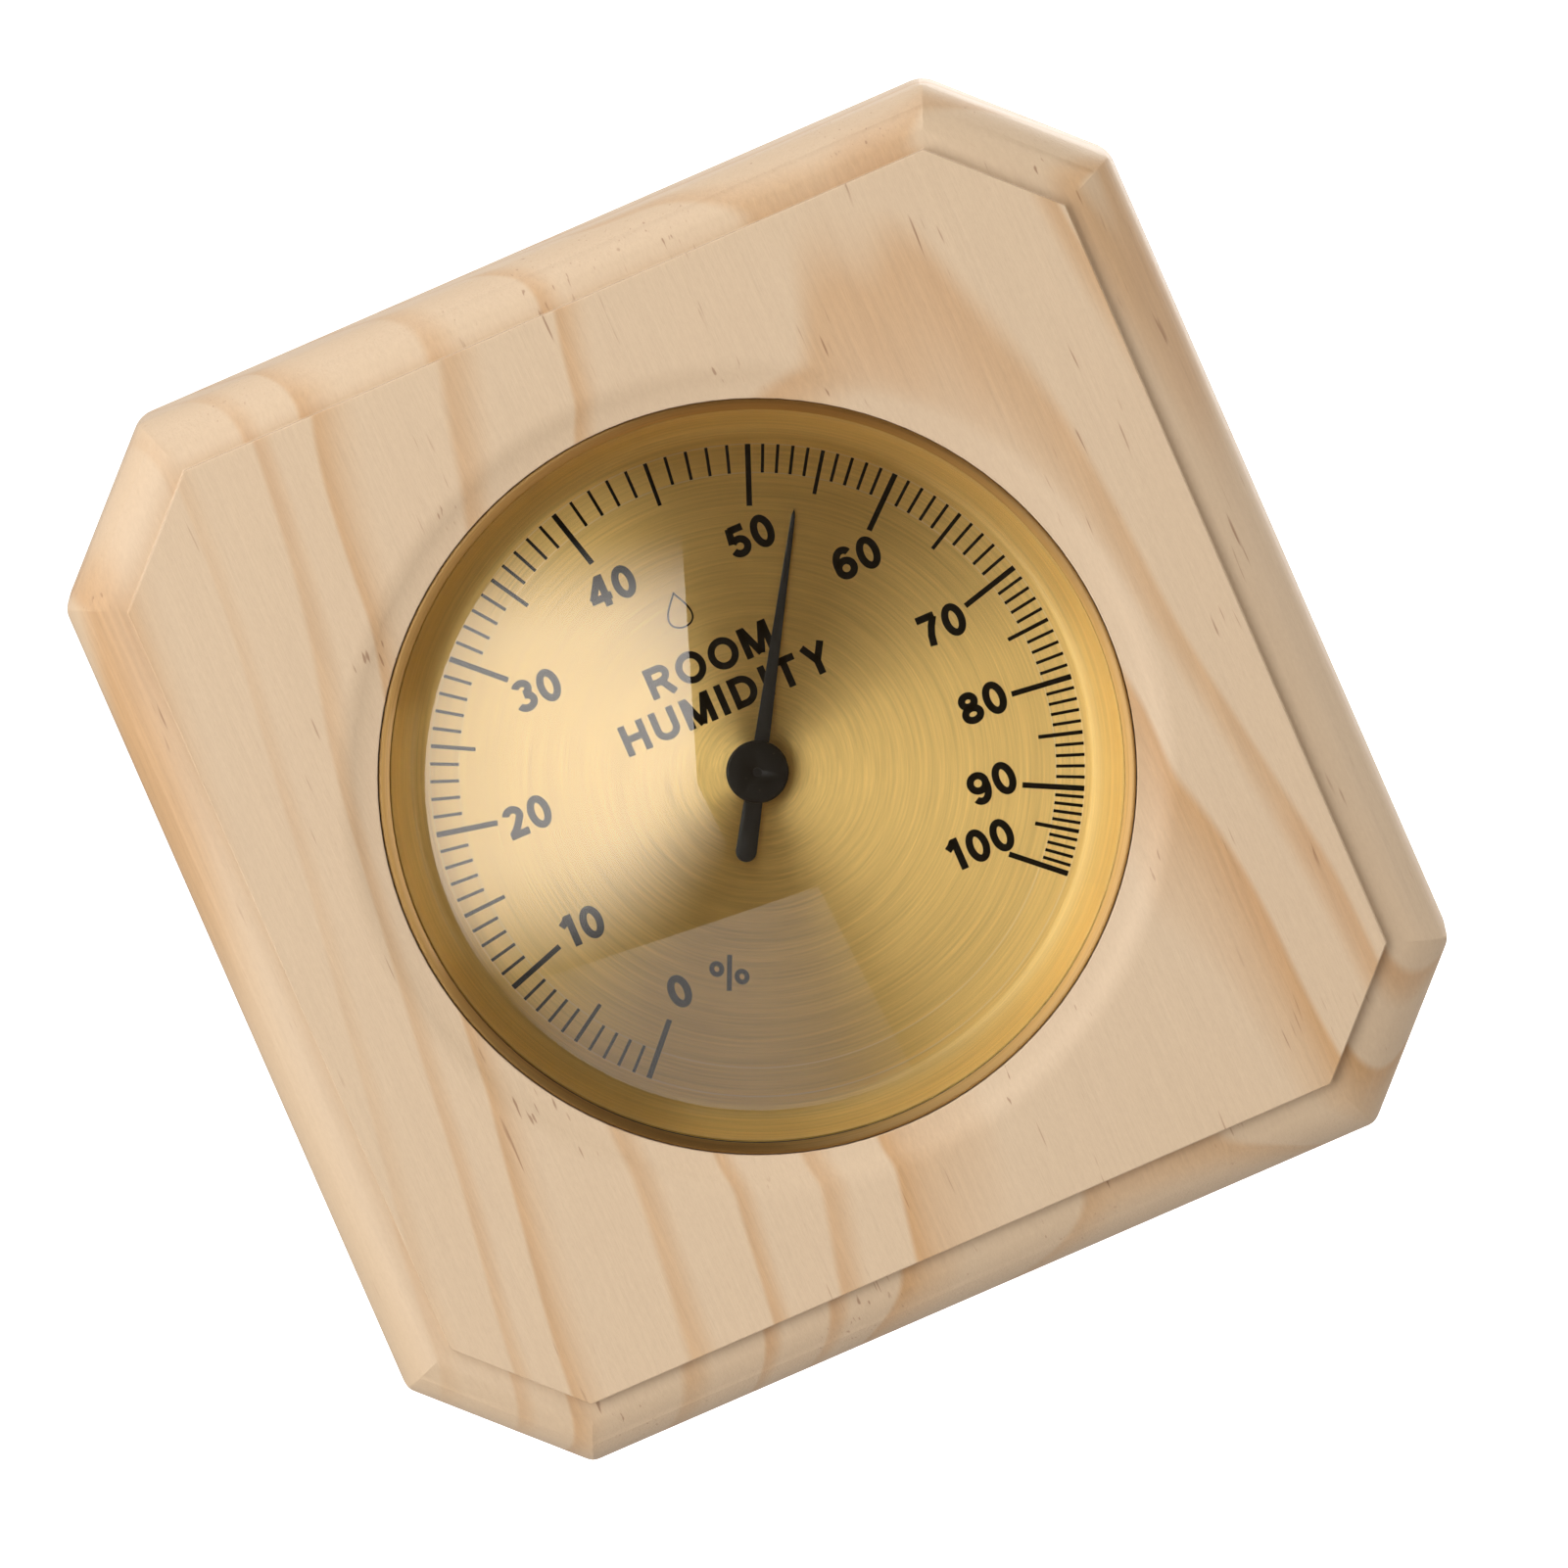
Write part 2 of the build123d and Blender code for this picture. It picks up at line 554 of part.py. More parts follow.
# ---------------------------------------------------------------- write every sub-part
SUB_PARTS = {
    "wood_board": wood_board,
    "hanger_plate": hanger_plate,
    "hanger_screws": hanger_screws,
    "bezel_ring": bezel_ring,
    "crystal": lambda: disc(CRYSTAL_RADIUS, CRYSTAL_BACK, CRYSTAL_FRONT),
    "crystal_gasket": lambda: ring(CRYSTAL_RADIUS, GASKET_INNER, GASKET_BACK, CRYSTAL_BACK),
    "dial_pan": dial_pan,
    "dial_feet": dial_feet,
    "case_body": case_body,
    "cover_lugs": cover_lugs,
    "back_cover": back_cover,
    "cover_screws": cover_screws,
    "case_clips": case_clips,
    "clip_screws": clip_screws,
    "movement_plate": movement_plate,
    "movement_pillars": movement_pillars,
    "front_bush": front_bush,
    "rear_bridge": rear_bridge,
    "bridge_screws": bridge_screws,
    "adjuster_spring_washer": adjuster_spring_washer,
    "adjuster_stud": adjuster_stud,
    "adjuster_arm": adjuster_arm,
    "adjuster_clip": adjuster_clip,
    "coil_post": coil_post,
    "humidity_coil": humidity_coil,
    "coil_collet": coil_collet,
    "pointer_arbor": pointer_arbor,
    "pointer_blade": pointer_blade,
    "pointer_hub": pointer_hub,
}

os.makedirs("parts", exist_ok=True)
for name, make in SUB_PARTS.items():
    save(name, make())
print(f"wrote {len(SUB_PARTS)} sub-parts")
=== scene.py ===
# %% [markdown]
# # Dial hygrometer in a pine board
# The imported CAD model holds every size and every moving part. This script only adds looks:
# it keeps the CAD pieces whose shape is right, gives each a finish, and makes finer pieces
# for the few that the eye rests on: the board, the brass dial, the bezel, the pointer and the print.

# %% Load the frame
import json
import math

import bmesh
import bpy
from mathutils import Matrix, Vector

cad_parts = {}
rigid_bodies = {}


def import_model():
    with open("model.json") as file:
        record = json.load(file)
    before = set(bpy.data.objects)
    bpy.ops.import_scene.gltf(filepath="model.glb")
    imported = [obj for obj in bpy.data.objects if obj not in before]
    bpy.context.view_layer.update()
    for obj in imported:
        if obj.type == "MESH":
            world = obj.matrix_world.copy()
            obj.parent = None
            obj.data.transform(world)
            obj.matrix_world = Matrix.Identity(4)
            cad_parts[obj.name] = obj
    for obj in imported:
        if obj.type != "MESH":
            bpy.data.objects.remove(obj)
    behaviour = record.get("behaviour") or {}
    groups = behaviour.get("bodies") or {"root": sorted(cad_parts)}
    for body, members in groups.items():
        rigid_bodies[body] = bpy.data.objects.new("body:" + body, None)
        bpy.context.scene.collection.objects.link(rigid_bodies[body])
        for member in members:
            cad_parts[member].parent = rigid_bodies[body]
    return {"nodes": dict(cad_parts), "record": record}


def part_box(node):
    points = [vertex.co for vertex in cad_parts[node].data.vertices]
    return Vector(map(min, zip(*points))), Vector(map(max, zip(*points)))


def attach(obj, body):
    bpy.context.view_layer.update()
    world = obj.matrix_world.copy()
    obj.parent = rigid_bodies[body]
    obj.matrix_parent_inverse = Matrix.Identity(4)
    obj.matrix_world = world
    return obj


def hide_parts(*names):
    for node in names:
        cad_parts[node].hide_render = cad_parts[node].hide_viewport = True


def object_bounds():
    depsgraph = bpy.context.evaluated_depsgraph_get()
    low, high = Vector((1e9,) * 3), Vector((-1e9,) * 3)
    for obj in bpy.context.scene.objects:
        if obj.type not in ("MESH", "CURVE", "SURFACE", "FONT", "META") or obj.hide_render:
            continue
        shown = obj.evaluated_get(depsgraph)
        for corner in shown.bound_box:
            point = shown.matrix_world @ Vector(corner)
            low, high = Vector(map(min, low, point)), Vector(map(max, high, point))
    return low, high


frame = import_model()
cad_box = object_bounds()
MM = 0.001
bodies = frame["record"]["behaviour"]["bodies"]
print("nodes on each body:", {name: len(nodes) for name, nodes in bodies.items()})
print("box (mm):", [[round(v / MM, 1) for v in corner] for corner in cad_box])

# %% [markdown]
# ## Places read from the CAD
# How far forward the dial's face, its rim, the bezel and the glass stand all comes from the packed
# nodes' own boxes, so a change in the CAD moves the print with it. A box doesn't give the radii
# inside a turned piece. Those are written down where the piece is made.

# %% Places
BUSH_FLANGE = 0.5 * MM   # how far the bush stands in front of the dial's flat

dial_low, dial_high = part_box("dial_pan")
dial_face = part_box("front_bush")[0].y + BUSH_FLANGE
bezel_low, bezel_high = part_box("bezel_ring")
print("dial face at y =", round(dial_face / MM, 2), "mm; bezel top at", round(bezel_low.y / MM, 2), "mm")

# %% [markdown]
# ## The camera
# The board hangs upright, but it is seen tipped: the camera is rolled, so the board's top leans
# to the left. A very long lens far away keeps opposite edges parallel, as in a catalogue picture.
# The light is later placed from the same three directions, so it stays where the viewer expects it.

# %% Camera
VIEW_AZIMUTH = math.radians(1.84)
VIEW_ELEVATION = math.radians(4.2)
VIEW_ROLL = math.radians(23.6)
FRAME_WIDTH = 206.85 * MM
LENS = 800.0             # mm
SENSOR = 36.0            # mm
BOARD_OFF_CENTRE = (-3.5 * MM, 1.76 * MM)


def new_object(name, data):
    """An object in the scene that holds the given mesh, light or camera."""
    made = bpy.data.objects.new(name, data)
    bpy.context.scene.collection.objects.link(made)
    return made



to_camera = Vector((
    math.sin(VIEW_AZIMUTH) * math.cos(VIEW_ELEVATION),
    -math.cos(VIEW_AZIMUTH) * math.cos(VIEW_ELEVATION),
    math.sin(VIEW_ELEVATION)))
level_right = (-to_camera).cross(Vector((0, 0, 1))).normalized()
level_up = level_right.cross(-to_camera).normalized()
view_right = level_right * math.cos(VIEW_ROLL) - level_up * math.sin(VIEW_ROLL)
view_up = level_right * math.sin(VIEW_ROLL) + level_up * math.cos(VIEW_ROLL)

camera_data = bpy.data.cameras.new("camera")
camera_data.lens = LENS
camera_data.sensor_width = SENSOR
camera_data.clip_end = 100.0
camera = new_object("camera", camera_data)
board_middle = (cad_box[0] + cad_box[1]) / 2
aim = board_middle - view_right * BOARD_OFF_CENTRE[0] - view_up * BOARD_OFF_CENTRE[1]
distance = FRAME_WIDTH * LENS / SENSOR
axes = Matrix((view_right, view_up, to_camera)).transposed()
camera.matrix_world = Matrix.Translation(aim + to_camera * distance) @ axes.to_4x4()
bpy.context.scene.camera = camera
print("camera is", round(distance, 2), "m away")

# %% [markdown]
# ## Helpers
# Colours are written as hex, as a paint chart gives them, and one function turns them linear.
# One function adds every shader and geometry node, with its settings and its links. A finish is
# a short chain of such nodes that ends in a shader. Its patterns are given their real size in
# millimetres, because a node that reads object coordinates would otherwise count in metres.

# %% Helpers for nodes and colours
MATHS = "ShaderNodeMath"
VECTOR = "ShaderNodeVectorMath"
SPLIT = "ShaderNodeSeparateXYZ"
NOISE = "ShaderNodeTexNoise"
STEP, SMOOTHLY = "ShaderNodeMapRange", {"interpolation_type": "SMOOTHSTEP"}
MIX, COLOURS = "ShaderNodeMix", {"data_type": "RGBA"}
SHARE, FIRST, SECOND = 0, 6, 7   # the sockets that a Mix node uses for colours
WHITE = (1.0, 1.0, 1.0, 1.0)


def linear(hex_colour):
    """An sRGB hex colour as the linear RGBA that shaders use."""
    channels = [int(hex_colour[i:i + 2], 16) / 255 for i in (1, 3, 5)]
    return tuple(c / 12.92 if c <= 0.04045 else ((c + 0.055) / 1.055) ** 2.4 for c in channels) + (1.0,)


def add(tree, kind, inputs=(), **settings):
    """Add one node with its settings and links. inputs lists values or other nodes in the order of
    the sockets, or maps a socket's name or number to one. A node stands for its first live output."""
    made = tree.nodes.new(kind)
    for name, value in settings.items():
        setattr(made, name, value)
    for name, value in (inputs if isinstance(inputs, dict) else dict(enumerate(inputs))).items():
        if isinstance(value, bpy.types.Node):
            value = next(output for output in value.outputs if output.enabled)
        if isinstance(value, bpy.types.NodeSocket):
            tree.links.new(value, made.inputs[name])
        else:
            made.inputs[name].default_value = value
    return made


def new_material(name):
    """A material with an empty tree."""
    made = bpy.data.materials.new(name)
    made.use_nodes = True
    made.node_tree.nodes.clear()
    return made, made.node_tree


def surface(tree, **inputs):
    """End a material's tree with one Principled shader, inputs being its numbers, colours and links."""
    named = {name.replace("_", " "): value for name, value in inputs.items()}
    shader = add(tree, "ShaderNodeBsdfPrincipled", named)
    add(tree, "ShaderNodeOutputMaterial", {"Surface": shader})


def in_millimetres(tree):
    """Object coordinates in millimetres."""
    place = add(tree, "ShaderNodeTexCoord").outputs["Object"]
    return add(tree, VECTOR, {0: place, "Scale": 1 / MM}, operation="SCALE")


def sized(tree, *size):
    """Coordinates for a pattern whose features are this many millimetres long in x, y and z."""
    scale = tuple(1 / length for length in size)
    return add(tree, VECTOR, (in_millimetres(tree), scale), operation="MULTIPLY")


def swing(tree, noise, amount, middle):
    """A number that swings about middle, over a range of amount, as a noise goes from 0 to 1."""
    from_mean = add(tree, MATHS, (noise, 0.5), operation="SUBTRACT")
    return add(tree, MATHS, (from_mean, amount, middle), operation="MULTIPLY_ADD")


print("helpers ready; mid grey is", round(linear("#808080")[0], 3), "in linear light")

# %% [markdown]
# ## Pine
# The board is one piece of planed softwood. Its figure is cut through a trunk: thin cones of
# growth rings around a pith that runs almost upright behind the face. Working the ring number out
# in space, and not on the surface, makes the bands turn the corner and come out as arcs on the
# end grain, as they do on the real thing. Each ring darkens slowly and ends sharply.

# %% Pine material
PITH_X = 30.0            # mm to the right of the dial's middle
PITH_DEPTH = 34.0        # mm behind the board's back, level with the dial's middle
PITH_LEAN = 0.11         # how fast the pith nears the face going down
PITH_DRIFT = 0.06        # how fast it moves to the right going up
RING_PITCH = 9.2         # mm
RING_WANDER = 17.0       # mm, how far a ring strays from its cone, from one side to the other
GOOD_YEARS = 17.0        # mm, how slowly good years give way to poor ones
YEAR_SHIFT = 1.6         # rings, how far they shift the count
EARLY_WOOD = linear("#B8A083")
LATE_WOOD = linear("#A98153")
WARM_WOOD = linear("#A98157")
CLOUDED_WOOD = linear("#B7997E")
RESIN = linear("#744B2E")
OPEN_PORES = linear("#9A7852")
# pale tone of the end grain: painted sheen, the room's grazing reflection
END_GRAIN_SHEEN = linear("#BEA78E")


def growth_rings(tree):
    """Ring number, counted out from the pith, with slow wander added."""
    wander = add(tree, NOISE, {"Vector": sized(tree, 46, 46, 150), "Scale": 1.0, "Detail": 2.0,
                               "Roughness": 0.5}).outputs["Color"]
    wander = add(tree, VECTOR, (wander, (0.5, 0.5, 0.5)), operation="SUBTRACT")
    wander = add(tree, VECTOR, {0: wander, "Scale": RING_WANDER}, operation="SCALE")
    moved = add(tree, VECTOR, (in_millimetres(tree), wander), operation="ADD")
    x, y, z = add(tree, SPLIT, (moved,)).outputs

    pith_x = add(tree, MATHS, (z, PITH_DRIFT, PITH_X), operation="MULTIPLY_ADD")
    pith_y = add(tree, MATHS, (z, PITH_LEAN, PITH_DEPTH), operation="MULTIPLY_ADD")
    across = add(tree, MATHS, (x, pith_x), operation="SUBTRACT")
    depth = add(tree, MATHS, (pith_y, y), operation="SUBTRACT")
    across_squared = add(tree, MATHS, (across, across), operation="MULTIPLY")
    depth_squared = add(tree, MATHS, (depth, depth), operation="MULTIPLY")
    squared = add(tree, MATHS, (across_squared, depth_squared), operation="ADD")
    radius = add(tree, MATHS, (squared,), operation="SQRT")

    years = add(tree, MATHS, (radius, GOOD_YEARS), operation="DIVIDE")
    uneven = add(tree, NOISE, {"W": years, "Scale": 1.0, "Detail": 1.0}, noise_dimensions="1D")
    even_count = add(tree, MATHS, (radius, RING_PITCH), operation="DIVIDE")
    shift = add(tree, MATHS, (uneven, YEAR_SHIFT), operation="MULTIPLY")
    return add(tree, MATHS, (even_count, shift), operation="ADD")


def late_wood(tree):
    """How dark the late wood is: it rises slowly, ends sharply, and no two rings are equally dark."""
    rings = growth_rings(tree)
    share = add(tree, MATHS, (rings,), operation="FRACT")
    darkening = add(tree, STEP, (share, 0.56, 0.91), **SMOOTHLY)
    ended = add(tree, STEP, (share, 0.90, 0.985), **SMOOTHLY)
    lasting = add(tree, MATHS, (1.0, ended), operation="SUBTRACT")
    late = add(tree, MATHS, (darkening, lasting), operation="MULTIPLY")
    number = add(tree, MATHS, (rings,), operation="FLOOR")
    weight = add(tree, "ShaderNodeTexWhiteNoise", {"W": number}, noise_dimensions="1D")
    weight = add(tree, MATHS, (weight, 0.88, 0.12), operation="MULTIPLY_ADD")
    return add(tree, MATHS, (late, weight), operation="MULTIPLY")


def pine():
    """Planed, unvarnished pine: dull and warm, with a soft sheen along the fibres."""
    made, tree = new_material("planed_pine")
    late = late_wood(tree)

    # early wood turns into late wood, some of it redder, under large soft clouds
    cloud = add(tree, NOISE, {"Vector": sized(tree, 26, 26, 60), "Scale": 1.0, "Detail": 3.0})
    banded = add(tree, MATHS, (late, 0.95), operation="MULTIPLY")
    tone = add(tree, MIX, {SHARE: banded, FIRST: EARLY_WOOD, SECOND: LATE_WOOD}, **COLOURS)
    warm = add(tree, MATHS, (late, 0.8), operation="MULTIPLY")
    reddened = add(tree, STEP, (cloud, 0.5, 0.72), **SMOOTHLY)
    warm = add(tree, MATHS, (warm, reddened), operation="MULTIPLY")
    tone = add(tree, MIX, {SHARE: warm, FIRST: tone, SECOND: WARM_WOOD}, **COLOURS)
    clouded = add(tree, STEP, (cloud, 0.35, 0.75), **SMOOTHLY)
    clouded = add(tree, MATHS, (clouded, 0.10), operation="MULTIPLY")
    tone = add(tree, MIX, {SHARE: clouded, FIRST: tone, SECOND: CLOUDED_WOOD}, **COLOURS)

    # long thin fibres, which show most in late wood, and a short grain over them
    fibre = add(tree, NOISE, {"Vector": sized(tree, 0.55, 0.55, 16), "Scale": 1.0, "Detail": 4.0,
                              "Roughness": 0.65})
    grain = add(tree, NOISE, {"Vector": sized(tree, 0.35, 0.35, 0.8), "Scale": 1.0, "Detail": 2.0})
    contrast = add(tree, MATHS, (late, 0.34, 0.14), operation="MULTIPLY_ADD")
    fine = swing(tree, grain, 0.10, swing(tree, fibre, contrast, 1.0))
    tone = add(tree, VECTOR, {0: tone, "Scale": fine}, operation="SCALE")

    # resin canals, cut lengthways: thin dark dashes that come in patches
    dash = add(tree, NOISE, {"Vector": sized(tree, 0.6, 0.6, 9), "Scale": 1.0, "Detail": 1.0})
    patch = add(tree, NOISE, {"Vector": sized(tree, 9, 9, 17), "Scale": 1.0, "Detail": 1.0})
    dash = add(tree, STEP, (dash, 0.67, 0.75), **SMOOTHLY)
    patch = add(tree, STEP, (patch, 0.52, 0.64), **SMOOTHLY)
    resin = add(tree, MATHS, (dash, patch), operation="MULTIPLY")
    resin = add(tree, MATHS, (resin, 0.62), operation="MULTIPLY")
    tone = add(tree, MIX, {SHARE: resin, FIRST: tone, SECOND: RESIN}, **COLOURS)

    # end grain, where the surface faces up or down: open pores, and a paler tone that is painted sheen,
    # standing in for the white room's grazing reflection on those faces
    upward = add(tree, SPLIT, (add(tree, "ShaderNodeNewGeometry").outputs["Normal"],)).outputs["Z"]
    upward = add(tree, MATHS, (upward,), operation="ABSOLUTE")
    end_grain = add(tree, STEP, (upward, 0.25, 0.8), **SMOOTHLY)
    speck = add(tree, NOISE, {"Vector": sized(tree, 0.45, 0.45, 0.45), "Scale": 1.0, "Detail": 3.0,
                              "Roughness": 0.7})
    pores = add(tree, STEP, (speck, 0.56, 0.72), **SMOOTHLY)
    pores = add(tree, MATHS, (end_grain, pores), operation="MULTIPLY")
    pores = add(tree, MATHS, (pores, 0.35), operation="MULTIPLY")
    tone = add(tree, MIX, {SHARE: pores, FIRST: tone, SECOND: OPEN_PORES}, **COLOURS)
    # painted sheen: the faces up and down are paled, as if they mirrored the white room
    painted_end_sheen = add(tree, MATHS, (end_grain, 0.38), operation="MULTIPLY")
    tone = add(tree, MIX, {SHARE: painted_end_sheen, FIRST: tone, SECOND: END_GRAIN_SHEEN}, **COLOURS)

    # relief: what glasspaper leaves of the fibres, and the roughness of the end grain
    relief = add(tree, MATHS, (grain, 0.03), operation="MULTIPLY")
    relief = add(tree, MATHS, (fibre, 0.05, relief), operation="MULTIPLY_ADD")
    rough_end = add(tree, MATHS, (speck, end_grain), operation="MULTIPLY")
    rough_end = add(tree, MATHS, (rough_end, 0.10), operation="MULTIPLY")
    relief = add(tree, MATHS, (relief, rough_end), operation="ADD")
    bump = add(tree, "ShaderNodeBump", {"Height": relief, "Strength": 0.8, "Distance": 1 * MM})
    surface(tree, Base_Color=tone, Roughness=0.55, Specular_IOR_Level=0.5, Normal=bump)
    return made


PINE = pine()
print("pine has", len(PINE.node_tree.nodes), "nodes")

# %% [markdown]
# ## The board
# A router leaves knife-sharp edges and glasspaper takes them off again. The CAD board is exact,
# so a copy of it is welded, its flat triangles are joined into whole faces, and a small bevel
# eases every edge that is sharp. The eased edge is what catches the light along the raised panel.

# %% Board
WELD = 0.002 * MM        # corners closer than this are one corner
FLAT_ENOUGH = math.radians(0.4)


def plain_mesh(made):
    """Keep what an object's modifiers make of it as its plain mesh, and drop the modifiers."""
    final = bpy.data.meshes.new_from_object(made.evaluated_get(bpy.context.evaluated_depsgraph_get()))
    made.modifiers.clear()
    made.data = final
    return final


def eased_copy(node, name, width, angle, segments=2, crease=30.0, soften=None):
    """A welded copy of a CAD node with its sharp edges eased by a bevel.
    soften, if given, is called on the welded copy first, to round what glasspaper rounds more."""
    mesh = frame["nodes"][node].data.copy()
    mesh.name = name
    work = bmesh.new()
    work.from_mesh(mesh)
    bmesh.ops.remove_doubles(work, verts=work.verts, dist=WELD)
    bmesh.ops.dissolve_limit(work, angle_limit=FLAT_ENOUGH, verts=work.verts, edges=work.edges)
    bmesh.ops.recalc_face_normals(work, faces=work.faces)
    if soften:
        soften(work)
    work.to_mesh(mesh)
    work.free()
    mesh.materials.clear()
    made = new_object(name, mesh)
    bevel = made.modifiers.new("eased", "BEVEL")
    bevel.width = width
    bevel.segments = segments
    bevel.limit_method = "ANGLE"
    bevel.angle_limit = math.radians(angle)
    bevel.use_clamp_overlap = True
    final = plain_mesh(made)
    final.shade_smooth()
    final.set_sharp_from_angle(angle=math.radians(crease))
    return made


DISH_EDGE = 54.3 * MM    # where the hollow round the dial meets the panel
DISH_SANDED = 1.3 * MM   # how far from that edge the glasspaper reaches
panel_face = cad_box[0].y


def soften_dish(work):
    """Round the hollow's outer edge, which is sanded until it is only a change of shade."""
    def on_edge(vertex):
        return (abs(math.hypot(vertex.co.x, vertex.co.z) - DISH_EDGE) < 0.05 * MM
                and abs(vertex.co.y - panel_face) < 0.02 * MM)

    edges = [e for e in work.edges if all(on_edge(v) for v in e.verts)]
    bmesh.ops.bevel(work, geom=edges, offset=DISH_SANDED, segments=5, profile=0.5, affect="EDGES")
    print("softened", len(edges), "edges of the hollow")


board = eased_copy("wood_board", "pine_board", 0.28 * MM, 32, segments=3, crease=12, soften=soften_dish)
board.data.materials.append(PINE)
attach(board, "case")
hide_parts("wood_board")
print("board has", len(board.data.polygons), "faces")

# %% [markdown]
# ## Turned pieces
# The dial and its bezel are turned or pressed round one axis, so each is only a profile and a rule.
# Geometry Nodes makes them: a grid has one row for each profile point and one column for each step
# round the axis, and each of its points is set to the profile point turned by its column's angle.
# The same tree makes both pieces, with the profile, the number of steps and the finish as inputs.

# %% Lathe in Geometry Nodes
SAME_POINT = 0.001 * MM  # points closer than this are one point
REAL_EDGE = math.radians(35)   # a turned piece's faces that meet at more than this stay sharp


def new_geometry_tree(name, sizes):
    """A geometry tree with a named input for each of sizes, and the outputs of its input node."""
    tree = bpy.data.node_groups.new(name, "GeometryNodeTree")
    for title, kind in {"Geometry": "Geometry", **sizes}.items():
        tree.interface.new_socket(title, in_out="INPUT", socket_type="NodeSocket" + kind)
    tree.interface.new_socket("Geometry", in_out="OUTPUT", socket_type="NodeSocketGeometry")
    return tree, add(tree, "NodeGroupInput").outputs


def end_geometry_tree(tree, shape, finish):
    """Make every instance real, give it its finish and hand it back."""
    real = add(tree, "GeometryNodeRealizeInstances", {"Geometry": shape})
    coloured = add(tree, "GeometryNodeSetMaterial", {"Geometry": real, "Material": finish})
    add(tree, "NodeGroupOutput", (coloured,))


def lathe_tree():
    """Profile points, in X and Y, turned about Y."""
    tree, given = new_geometry_tree("turned_profile", {"Steps": "Int", "Finish": "Material"})
    profile = given["Geometry"]
    rows = add(tree, "GeometryNodeAttributeDomainSize", {"Geometry": profile}, component="MESH")
    columns = add(tree, MATHS, (given["Steps"], 1), operation="ADD")
    grid = add(tree, "GeometryNodeMeshGrid", {
        "Size X": 1.0, "Size Y": 1.0, "Vertices X": columns, "Vertices Y": rows})

    index = add(tree, "GeometryNodeInputIndex")
    column = add(tree, MATHS, (index, rows), operation="DIVIDE")
    column = add(tree, MATHS, (column,), operation="FLOOR")
    row = add(tree, MATHS, (index, rows), operation="MODULO")
    point = add(tree, "GeometryNodeSampleIndex", {
        "Geometry": profile, "Value": add(tree, "GeometryNodeInputPosition"), "Index": row},
        data_type="FLOAT_VECTOR")
    corner = add(tree, SPLIT, (point,)).outputs

    turn = add(tree, MATHS, (column, 2 * math.pi), operation="MULTIPLY")
    turn = add(tree, MATHS, (turn, given["Steps"]), operation="DIVIDE")
    cosine = add(tree, MATHS, (turn,), operation="COSINE")
    sine = add(tree, MATHS, (turn,), operation="SINE")
    x = add(tree, MATHS, (corner["X"], cosine), operation="MULTIPLY")
    z = add(tree, MATHS, (corner["X"], sine), operation="MULTIPLY")
    place = add(tree, "ShaderNodeCombineXYZ", (x, corner["Y"], z))
    placed = add(tree, "GeometryNodeSetPosition", {"Geometry": grid, "Position": place})
    closed = add(tree, "GeometryNodeMergeByDistance", {"Geometry": placed, "Distance": SAME_POINT})
    end_geometry_tree(tree, closed, given["Finish"])
    return tree


def grown(name, points, tree, carried=None, **values):
    """Run a geometry tree on a few points, which may carry numbers, and keep the mesh it makes."""
    mesh = bpy.data.meshes.new(name)
    mesh.from_pydata([tuple(p) for p in points], [], [])
    for key, numbers in (carried or {}).items():
        mesh.attributes.new(key, "FLOAT", "POINT").data.foreach_set("value", numbers)
    made = new_object(name, mesh)
    modifier = made.modifiers.new("rule", "NODES")
    modifier.node_group = tree
    sockets = {s.name: s.identifier for s in tree.interface.items_tree if s.in_out == "INPUT"}
    for key, value in values.items():
        modifier[sockets[key]] = value
    plain_mesh(made)
    return made


def outward(mesh):
    """Turn every face outwards, smooth it, and keep the real edges sharp."""
    work = bmesh.new()
    work.from_mesh(mesh)
    bmesh.ops.remove_doubles(work, verts=work.verts, dist=SAME_POINT)
    bmesh.ops.recalc_face_normals(work, faces=work.faces)
    work.to_mesh(mesh)
    work.free()
    mesh.shade_smooth()
    mesh.set_sharp_from_angle(angle=REAL_EDGE)


LATHE = lathe_tree()
print("lathe tree has", len(LATHE.nodes), "nodes")

# %% [markdown]
# ## Brushed brass
# The dial is pressed from brass sheet, spun against an abrasive, and lacquered. Spinning leaves
# fine rings, and a ring scatters light across itself, never along itself: that is why a brushed disc
# shows two bright fans that stay put when it turns. Here the shader is told the direction across
# the rings, and the rings themselves are a noise that is short along the radius and long round it.

# %% Brushed brass material
RING_SPACING = 0.29      # mm; real brush marks are finer, and are drawn as coarse as they need to show
RING_ARCS = 1.6          # how many marks start and stop in each radian
COVE_INNER = 43.8        # mm, radius where the dial's flat ends and its cove starts
TICK_CIRCLE = 43.2       # mm, radius at the outer end of every tick
SHORT_TICK = 3.8         # mm
# pale colour of the scribed hairlines: a painted glint
HAIRLINE_GLINT = linear("#FFF6DC")


def across_rings(tree):
    """Radius in mm, the direction across the brush marks, and a place for the marks' noise."""
    place = in_millimetres(tree)
    outwards = add(tree, VECTOR, (place, (1, 0, 1)), operation="MULTIPLY")
    radius = add(tree, VECTOR, (outwards,), operation="LENGTH")
    unit = add(tree, VECTOR, (outwards,), operation="NORMALIZE")
    across = add(tree, VECTOR, (unit, (0, -1, 0)), operation="ADD")
    depth = add(tree, SPLIT, (place,)).outputs["Y"]
    along_profile = add(tree, MATHS, (radius, depth), operation="SUBTRACT")
    along_profile = add(tree, MATHS, (along_profile, RING_SPACING), operation="DIVIDE")
    round_about = add(tree, VECTOR, {0: unit, "Scale": RING_ARCS}, operation="SCALE")
    round_about = add(tree, SPLIT, (round_about,)).outputs
    marks = add(tree, "ShaderNodeCombineXYZ", (along_profile, round_about["X"], round_about["Z"]))
    return radius, across, marks


